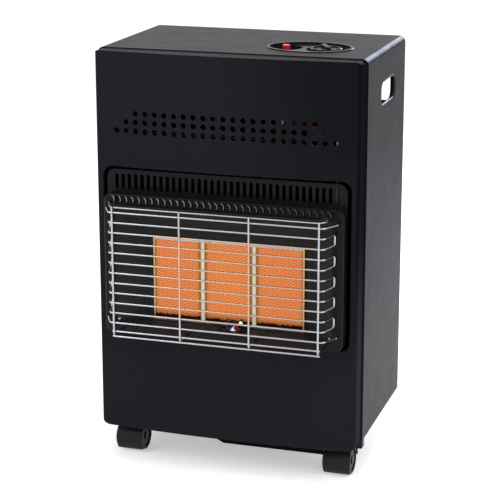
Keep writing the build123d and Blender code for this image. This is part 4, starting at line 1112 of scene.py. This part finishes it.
    def dress_frame(self) -> None:
        """Give every CAD node its own finish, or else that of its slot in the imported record."""
        slots = {part["node"]: part["material_slot"] for part in frame["record"]["subparts"]}
        slots.update(self.own)
        for name, node in frame["nodes"].items():
            self.coat(node, slots[name])
        LOG.info("finished %d nodes with %d finishes", len(frame["nodes"]), len(self.made))


def grid_piece(name: str, grids: np.ndarray, wrap: bool = True) -> bpy.types.Object:
    """Make one mesh of quads from equal grids of points.

    Args:
        name: The piece's name.
        grids: Array (grids, rows, columns, 3); each surface is a function of row and column, and
            its faces point along the rows' direction crossed with the columns'.
        wrap: Join each grid's last column to its first.

    Returns:
        The new object, at the origin.
    """
    count, rows, columns = grids.shape[:3]
    index = np.arange(rows * columns).reshape(rows, columns)
    index = np.hstack([index, index[:, :1]]) if wrap else index
    corners = (index[:-1, :-1], index[1:, :-1], index[1:, 1:], index[:-1, 1:])
    quads = np.stack(corners, axis=-1).reshape(-1, 4)
    faces = (quads[None] + (np.arange(count) * rows * columns)[:, None, None]).ravel()
    mesh = bpy.data.meshes.new(name)
    mesh.vertices.add(count * rows * columns)
    mesh.vertices.foreach_set("co", np.ascontiguousarray(grids, dtype=np.float32).ravel())
    mesh.loops.add(faces.size)
    mesh.loops.foreach_set("vertex_index", faces.astype(np.int32))
    mesh.polygons.add(faces.size // 4)
    mesh.polygons.foreach_set("loop_start", np.arange(0, faces.size, 4, dtype=np.int32))
    mesh.polygons.foreach_set("use_smooth", np.full(faces.size // 4, True))
    mesh.update(calc_edges=True)
    mesh.validate()
    made = bpy.data.objects.new(name, mesh)
    bpy.context.scene.collection.objects.link(made)
    return made


def bezier(points: Sequence[Place], t: np.ndarray) -> np.ndarray:
    """Give a cubic Bezier curve's points: the four points weighted by Bernstein's polynomials.

    Args:
        points: The four control points.
        t: Shares of the way, 0 to 1.

    Returns:
        Array (n, 3) of points.
    """
    t = t[:, None]
    a, b, c, d = (np.array(point) for point in points)
    return (1 - t) ** 3 * a + 3 * (1 - t) ** 2 * t * b + 3 * (1 - t) * t**2 * c + t**3 * d


def circle(count: int) -> np.ndarray:
    """Give evenly spaced angles round a full turn, without the last one."""
    return np.linspace(0, 2 * np.pi, count, endpoint=False)


def sweep(path: np.ndarray, radii: np.ndarray, sides: int, up: Place = (0.0, 0.0, 1.0)) -> np.ndarray:
    """Carry an ellipse along a path.

    At each path point the two short axes are the cross product of the path's direction with the
    up vector, and of that with the direction; a point at angle a lies cos(a) times the first and
    sin(a) times the second, each times its radius.

    Args:
        path: Array (n, 3) of centre points.
        radii: Array (n, 2) of the ellipse's half axes, sideways and upwards.
        sides: Points around.
        up: Rough upward direction.

    Returns:
        Array (n, sides, 3), which runs round so that the faces point outwards.
    """
    along = np.gradient(path, axis=0)
    along /= np.linalg.norm(along, axis=1, keepdims=True)
    across = np.cross(along, np.asarray(up))
    across /= np.linalg.norm(across, axis=1, keepdims=True)
    over = np.cross(across, along)
    angle = circle(sides)
    ring = across[:, None] * (np.cos(angle)[None, :, None] * radii[:, None, :1])
    return path[:, None] + ring + over[:, None] * (np.sin(angle)[None, :, None] * radii[:, None, 1:])


def ball(polar: np.ndarray, around: int) -> np.ndarray:
    """Give points of a ball of radius 1, closed at its poles.

    At polar angle p and turn a the point is (sin p cos a, sin p sin a, cos p).

    Args:
        polar: The polar angles.
        around: Points around.

    Returns:
        Array (angles, around, 3).
    """
    p, a = np.meshgrid(polar, circle(around), indexing="ij")
    return np.stack([np.sin(p) * np.cos(a), np.sin(p) * np.sin(a), np.cos(p)], axis=-1)


def seated(node: str, near: Place) -> tuple[np.ndarray, np.ndarray]:
    """Find the nearest point on a CAD node's surface and the surface's direction there."""
    _, place, normal, _ = frame["nodes"][node].closest_point_on_mesh(Vector(near))
    return np.array(place), np.array(normal)


def domes(
    name: str, seats: Sequence[tuple[np.ndarray, np.ndarray]], radius: float, height: float
) -> bpy.types.Object:
    """Make domed heads on their seats.

    A head is an ellipse turned about its seat's normal: at polar angle p its radius is r sin p and
    its height h cos p; the rim goes a little below the seat.

    Args:
        name: The piece's name.
        seats: Centre and outward direction of each head.
        radius: Head's radius.
        height: Head's height.

    Returns:
        The object.
    """
    below = 0.12
    head = ball(np.linspace(0, np.pi / 2 + below, 8), 20) * np.array([radius, radius, height])
    made = []
    for place, normal in seats:
        side = np.cross(normal, (0.1, 0.2, 1.0))
        side /= np.linalg.norm(side)
        made.append(place + head @ np.stack([side, np.cross(normal, side), normal]))
    return grid_piece(name, np.stack(made))


@dataclass
class VisorLips:
    """Pressed lips along the right edge of each slanted slot in the visor.

    Attributes:
        count: Number of slots.
        pitch: Distance between them.
        length: Length of a lip.
        slant: Slant in plan, degrees.
        middle: Y of the slots' middle.
        aside: Distance of a lip's ends from its slot's middle line.
        bow: How far a lip bows sideways.
        thick: Half width and half height of a lip at its middle.
        lift: How far a lip's middle line lies over the visor.
        rear: Y and Z of the visor's rear edge.
        front: Y and Z of its front edge.
        crown: How far it rises over the line between them.
    """

    count: int = 34
    pitch: float = 0.0111
    length: float = 0.0315
    slant: float = 27.0
    middle: float = -0.1832
    aside: float = 0.0026
    bow: float = 0.0017
    thick: Pair = (0.00055, 0.0011)
    lift: float = 0.0001
    rear: Pair = (-0.1623, 0.473)
    front: Pair = (-0.2025, 0.468)
    crown: float = 0.0032

    def top(self, y: np.ndarray) -> np.ndarray:
        """Give the visor's height at a depth.

        At share t of the way from the rear edge to the front one it is the straight line between
        them plus the crown times 4 t (1 - t).

        Args:
            y: The depths.

        Returns:
            The heights.
        """
        t = (y - self.rear[0]) / (self.front[0] - self.rear[0])
        line = self.rear[1] + (self.front[1] - self.rear[1]) * t
        return line + 4 * self.crown * t * (1 - t)

    def build(self, coats: Coats) -> bpy.types.Object:
        """Make all lips as one piece.

        A lip's point at t from -1 to 1 lies t half-lengths along the slant, moved sideways by the
        bow times (1 - t squared); its thickness there is the root of (1 - t squared) times the
        full one.

        Args:
            coats: Finishes.

        Returns:
            The piece.
        """
        t = np.linspace(-1, 1, 13)
        turn = math.radians(self.slant)
        along = np.array([math.sin(turn), -math.cos(turn)])
        side = np.array([math.cos(turn), math.sin(turn)])
        rise = 1 - t[:, None] ** 2
        plan = t[:, None] * self.length / 2 * along + (self.aside + self.bow * rise) * side
        y = plan[:, 1] + self.middle
        lips = []
        for x in (np.arange(self.count) - (self.count - 1) / 2) * self.pitch:
            path = np.column_stack([plan[:, 0] + x, y, self.top(y) + self.lift])
            lips.append(sweep(path, np.sqrt(rise) * np.array(self.thick), 8))
        piece = grid_piece("visor_slot_lips", np.stack(lips))
        # Painted highlight along the lips.
        coats.coat(piece, "painted_highlight_edge")
        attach(piece, "cabinet")
        return piece


@dataclass
class GuardWelds:
    """Small weld beads where the guard's uprights cross its wires.

    Attributes:
        uprights: X of the uprights.
        rows: Number of wires.
        top: Height of the highest wire.
        pitch: Distance between the wires.
        depth: Y between upright and wire.
        bead: Half axes of a bead, along the wire, front to back and up.
    """

    uprights: tuple[float, ...] = (-0.175, -0.059, 0.059, 0.175)
    rows: int = 12
    top: float = 0.454
    pitch: float = 0.01715
    depth: float = -0.2010
    bead: tuple[float, float, float] = (0.0024, 0.0015, 0.0017)

    def build(self, coats: Coats) -> bpy.types.Object:
        """Make all beads as one piece.

        A bead is a ball with its poles along the wire, each axis times its half length.

        Args:
            coats: Finishes.

        Returns:
            The piece.
        """
        bead = np.roll(ball(np.linspace(0, np.pi, 7), 10), 1, axis=-1) * np.array(self.bead)
        z = self.top - np.arange(self.rows) * self.pitch
        x, z = np.meshgrid(np.array(self.uprights), z, indexing="ij")
        places = np.stack([x.ravel(), np.full(x.size, self.depth), z.ravel()], axis=-1)
        piece = grid_piece("guard_weld_beads", places[:, None, None] + bead)
        coats.coat(piece, "chromed_wire")
        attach(piece, "cabinet")
        return piece


@dataclass
class Heads:
    """The two rivets of the reflector's side walls.

    Attributes:
        firebox: Rough places of the rivets on the walls' inner faces.
        rivet: Radius and height of a rivet's head.
    """

    firebox: tuple[Place, ...] = ((-0.1815, -0.1592, 0.2589), (0.1815, -0.1592, 0.2589))
    rivet: Pair = (0.0026, 0.0014)

    def build(self, coats: Coats) -> bpy.types.Object:
        """Set the rivets on the walls.

        Args:
            coats: Finishes.

        Returns:
            The piece.
        """
        piece = domes("reflector_rivets", [seated("reflector", place) for place in self.firebox], *self.rivet)
        coats.coat(piece, "bright_steel")
        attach(piece, "cabinet")
        return piece


@dataclass
class GripTrims:
    """Rolled beads round the carrying cut-outs in the side walls.

    Attributes:
        side: X of the bead's middle line, from the middle of the heater.
        middle: Y and Z of a cut-out's middle.
        size: Length and height of the cut-out.
        corner: Its corner radius.
        bead: Half thickness of the bead.
        bite: Share of the half thickness by which the bead's middle line lies inside the cut-out.
    """

    side: float = 0.2275
    middle: Pair = (0.0310, 0.6390)
    size: Pair = (0.1050, 0.0440)
    corner: float = 0.0160
    bead: float = 0.0022
    bite: float = 0.85

    def loop(self) -> np.ndarray:
        """Give the bead's closed middle line in Y and Z.

        Four quarter circles stand at the corners of the inner rectangle; the runs between them
        close by themselves.

        Returns:
            Array (n, 4): the points, and beside them their outward directions.
        """
        turn = np.linspace(0, np.pi / 2, 9)[None] + np.arange(4)[:, None] * np.pi / 2
        out = np.stack([np.cos(turn), np.sin(turn)], axis=-1)
        half = np.array(self.size) / 2 - self.corner
        signs = np.array([[1, 1], [-1, 1], [-1, -1], [1, -1]])[:, None]
        ring = signs * half + out * (self.corner - self.bead * self.bite)
        return np.concatenate([ring + np.array(self.middle), out], axis=-1).reshape(-1, 4)

    def build(self, coats: Coats) -> bpy.types.Object:
        """Make both beads as one piece.

        A bead's point at angle a lies cos(a) along the loop's outward direction and sin(a)
        sideways from its middle line, times the half thickness.

        Args:
            coats: Finishes.

        Returns:
            The piece.
        """
        line = self.loop()
        angle = circle(12)
        flat = line[:, None, :2] + line[:, None, 2:] * self.bead * np.cos(angle)[None, :, None]
        deep = self.bead * np.sin(angle)[None] + 0 * line[:, :1]
        right = np.concatenate([(self.side + deep)[..., None], flat], axis=-1)
        left = np.concatenate([(-self.side - deep)[..., None], flat], axis=-1)[:, ::-1]
        beads = np.stack([right, left])
        piece = grid_piece("grip_trims", np.concatenate([beads, beads[:, :1]], axis=1))
        coats.coat(piece, "black_plastic")
        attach(piece, "cabinet")
        return piece


@dataclass
class EarthLead:
    """The slack red lead between the igniter's body and the valve's, behind the upper vents.

    Attributes:
        points: Control points of its middle line.
        radius: The sleeve's radius.
        taper: How steeply the sleeve closes at its ends.
    """

    points: tuple[Place, ...] = (
        (0.0660, -0.0255, 0.5850),
        (0.0740, -0.0580, 0.5884),
        (0.1180, -0.0560, 0.5860),
        (0.1310, -0.0345, 0.5866),
    )
    radius: float = 0.0032
    taper: float = 12.0

    def build(self, coats: Coats) -> bpy.types.Object:
        """Sweep the sleeve along its Bezier curve.

        At t its radius is the full one times the taper times sin(pi t), or the full one where
        that is more.

        Args:
            coats: Finishes.

        Returns:
            The piece.
        """
        t = np.linspace(0, 1, 28)
        share = np.clip(self.taper * np.sin(np.pi * t), 0.0, 1.0)
        radii = np.repeat(self.radius * share[:, None], 2, axis=1)
        piece = grid_piece("earth_lead", sweep(bezier(self.points, t), radii, 14)[None])
        coats.coat(piece, "red_sleeve")
        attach(piece, "cabinet")
        return piece


@dataclass
class PilotFlame:
    """The small flame at the pilot's head and a painted glint on the tip of its probe.

    Attributes:
        points: Control points of the flame's middle line.
        radius: Its largest half width and half height.
        blunt: Power that makes its ends blunt.
        tip: Middle of the painted glint on the probe's tip.
        spot: The glint's radius and height.
    """

    points: tuple[Place, ...] = (
        (0.0085, -0.1480, 0.2555),
        (0.0140, -0.1500, 0.2590),
        (0.0200, -0.1510, 0.2590),
        (0.0285, -0.1510, 0.2565),
    )
    radius: Pair = (0.0036, 0.0078)
    blunt: float = 0.6
    tip: Place = (0.0268, -0.1425, 0.2660)
    spot: Pair = (0.0029, 0.0032)

    def build(self, coats: Coats) -> bpy.types.Object:
        """Make the flame.

        Its middle line is the Bezier curve of the four points; its half axes at t are the largest
        ones times sin(pi t) to the blunt power.

        Args:
            coats: Finishes.

        Returns:
            The piece.
        """
        t = np.linspace(0, 1, 20)
        radii = np.clip(np.sin(np.pi * t), 0.0, 1.0)[:, None] ** self.blunt * np.array(self.radius)
        body = sweep(bezier(self.points, t), radii, 20, (0.0, 1.0, 0.0))
        piece = grid_piece("pilot_flame", body[None])
        coats.coat(piece, "flame")
        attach(piece, "cabinet")
        self.painted_glint_spot(coats)
        return piece

    def painted_glint_spot(self, coats: Coats) -> None:
        """Set a small domed spot on the probe's tip, towards the front: a painted glint that gives light of
        its own.

        Args:
            coats: Finishes.
        """
        piece = domes("probe_painted_glint", [(np.array(self.tip), np.array((0.0, -1.0, 0.0)))], *self.spot)
        coats.coat(piece, "painted_glint")
        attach(piece, "cabinet")


@dataclass
class DoorLouvres:
    """Pressed hoods over the rear door's slots.

    Attributes:
        columns: X of the two columns' middles.
        rows: Number of rows.
        pitch: Distance between rows.
        middle: Height of the rows' middle.
        face: Y of the door's outside.
        half: Half length of a hood.
        stand: How far it stands out and how high it is.
        sheet: Thickness of its sheet.
    """

    columns: Pair = (-0.075, 0.075)
    rows: int = 9
    pitch: float = 0.016
    middle: float = 0.404
    face: float = 0.2036
    half: float = 0.067
    stand: Pair = (0.0035, 0.0085)
    sheet: float = 0.0008

    def build(self, coats: Coats) -> bpy.types.Object:
        """Make all hoods as one piece.

        Along a hood, t from 1 to -1, its size is (1 - t to the power 8) to the power one half;
        across it the profile is a quarter ellipse that meets the door above and ends in a free
        lip below.

        Args:
            coats: Finishes.

        Returns:
            The piece.
        """
        t, a = np.linspace(1, -1, 25), np.linspace(0, np.pi / 2, 7)
        size = np.sqrt(np.clip(1 - t**8, 0.0, 1.0))[:, None]
        out = -self.stand[0] * size * np.sin(a)
        down = self.stand[1] * (0.5 - size * (1 - np.cos(a)))
        hood = np.stack([t[:, None] * self.half + 0 * a, out, down], axis=-1)
        z = self.middle + (np.arange(self.rows) - (self.rows - 1) / 2) * self.pitch
        x, z = np.meshgrid(np.array(self.columns), z, indexing="ij")
        places = np.stack([x.ravel(), np.full(x.size, self.face), z.ravel()], axis=-1)
        piece = grid_piece("door_louvre_hoods", places[:, None, None] + hood, wrap=False)
        wall = piece.modifiers.new("sheet", "SOLIDIFY")
        wall.thickness, wall.offset = self.sheet, 0.0
        coats.coat(piece, "casing_paint")
        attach(piece, "rear_door")
        return piece


@dataclass(frozen=True)
class Lamp:
    """One soft rectangular lamp.

    Attributes:
        name: Lamp's name.
        place: Where it hangs.
        aim: Point that it faces.
        size: Width and height in metres.
        watts: Power.
        shade: Colour of its light.
    """

    name: str
    place: Place
    aim: Place
    size: Pair
    watts: float
    shade: Colour = (1.0, 1.0, 1.0)

    def hang(self) -> None:
        """Make the lamp, turned towards its aim."""
        light = bpy.data.lights.new(self.name, "AREA")
        light.shape = "RECTANGLE"
        light.size, light.size_y = self.size
        light.energy = self.watts
        light.color = self.shade
        holder = bpy.data.objects.new(self.name, light)
        bpy.context.scene.collection.objects.link(holder)
        holder.location = self.place
        holder.rotation_euler = (Vector(self.aim) - Vector(self.place)).to_track_quat("-Z", "Y").to_euler()


@dataclass
class Studio:
    """Pale floor, soft lamps, a bright world and the camera at the photograph's place.

    Attributes:
        eye: Camera place in metres.
        heading: Camera's turn about the vertical in degrees.
        tilt: How far it looks down in degrees.
        focal: Focal length in pixels.
        frame_side: Side of the photograph in pixels.
        film: Width of the film in millimetres.
        shift: Vertical film shift as a share of the frame.
        floor_half: Half the floor's side in metres.
        floor_light: Strength of the light by which the floor is seen as white.
        dim: Strength of the world's own light, where 1 is what is seen.
        lamps: The lamps.
    """

    eye: Place = (0.8374, -2.6895, 1.1329)
    heading: float = 17.326
    tilt: float = 14.651
    focal: float = 1692.1
    frame_side: float = 500.0
    film: float = 36.0
    shift: float = -0.05
    floor_half: float = 14.0
    floor_light: float = 0.42
    dim: float = 0.72
    lamps: tuple[Lamp, ...] = (
        Lamp("left_bank", (-1.6, -2.2, 2.0), (0.0, 0.0, 0.35), (1.2, 1.6), 26.0),
        Lamp("right_bank", (2.4, -0.4, 1.9), (0.1, 0.0, 0.5), (0.8, 1.8), 22.0),
        Lamp("top_bank", (0.2, 0.8, 2.6), (0.0, 0.0, 0.7), (1.6, 1.0), 18.0),
        Lamp("fold_strip", (0.52, 2.5, 1.36), (0.2, 0.0, 0.7), (1.1, 0.6), 30.0, (0.74, 0.79, 1.0)),
    )

    def floor(self) -> None:
        """Lay the floor: a flat grid, x and y running evenly between its edges."""
        edge = np.linspace(-self.floor_half, self.floor_half, 9)
        u, v = np.meshgrid(edge, edge, indexing="ij")
        sheet = grid_piece("studio_floor", np.stack([u, v, np.zeros_like(u)], axis=-1)[None], wrap=False)
        graph = Graph("studio_floor")
        shade = graph.shader.inputs
        graph.join(graph.blend(graph.noise(2.0), tone("f4f4f4"), tone("f7f7f7")), shade["Base Color"])
        shade["Roughness"].default_value = 0.9
        shade["Specular IOR Level"].default_value = 0.1
        shade["Emission Color"].default_value = (1.0, 1.0, 1.0, 1.0)
        graph.join(graph.times(graph.seen(), self.floor_light), shade["Emission Strength"])
        sheet.data.materials.append(graph.material)

    def world(self) -> None:
        """Make the world: white where it is seen, a softer grey for the light it gives."""
        world = bpy.data.worlds.new("studio")
        bpy.context.scene.world = world
        tree = Tree(world)
        output = tree.node("ShaderNodeOutputWorld")
        sky = tree.node("ShaderNodeBackground")
        sky.inputs["Color"].default_value = (1.0, 1.0, 1.0, 1.0)
        level = tree.node("ShaderNodeMapRange")
        level.inputs["To Min"].default_value = self.dim
        tree.join(tree.seen(), level.inputs["Value"])
        tree.join(level.outputs[0], sky.inputs["Strength"])
        tree.join(sky.outputs[0], output.inputs["Surface"])

    def camera(self) -> None:
        """Set the camera: the lens is the focal length in pixels times the film over the frame."""
        data = bpy.data.cameras.new("photograph")
        data.sensor_width = self.film
        data.lens = self.focal * self.film / self.frame_side
        data.shift_y = self.shift
        holder = bpy.data.objects.new("photograph", data)
        bpy.context.scene.collection.objects.link(holder)
        holder.location = self.eye
        holder.rotation_euler = Euler((math.radians(90 - self.tilt), 0.0, math.radians(self.heading)))
        bpy.context.scene.camera = holder

    def build(self) -> None:
        """Set up floor, world, lamps, camera and plain colour handling."""
        bpy.context.scene.view_settings.view_transform = "Standard"
        self.floor()
        self.world()
        for lamp in self.lamps:
            lamp.hang()
        self.camera()
        LOG.info("studio ready")


def main() -> None:
    """Dress the frame, add the fine pieces and light it."""
    logging.basicConfig(level=logging.INFO, format="%(name)s: %(message)s")
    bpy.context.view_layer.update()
    Studio().build()
    coats = Coats()
    coats.dress_frame()
    for maker in (VisorLips(), GuardWelds(), Heads(), GripTrims(), PilotFlame(), EarthLead(), DoorLouvres()):
        piece = maker.build(coats)
        LOG.info("made %s with %d faces", piece.name, len(piece.data.polygons))


if __name__ == "__main__":
    main()
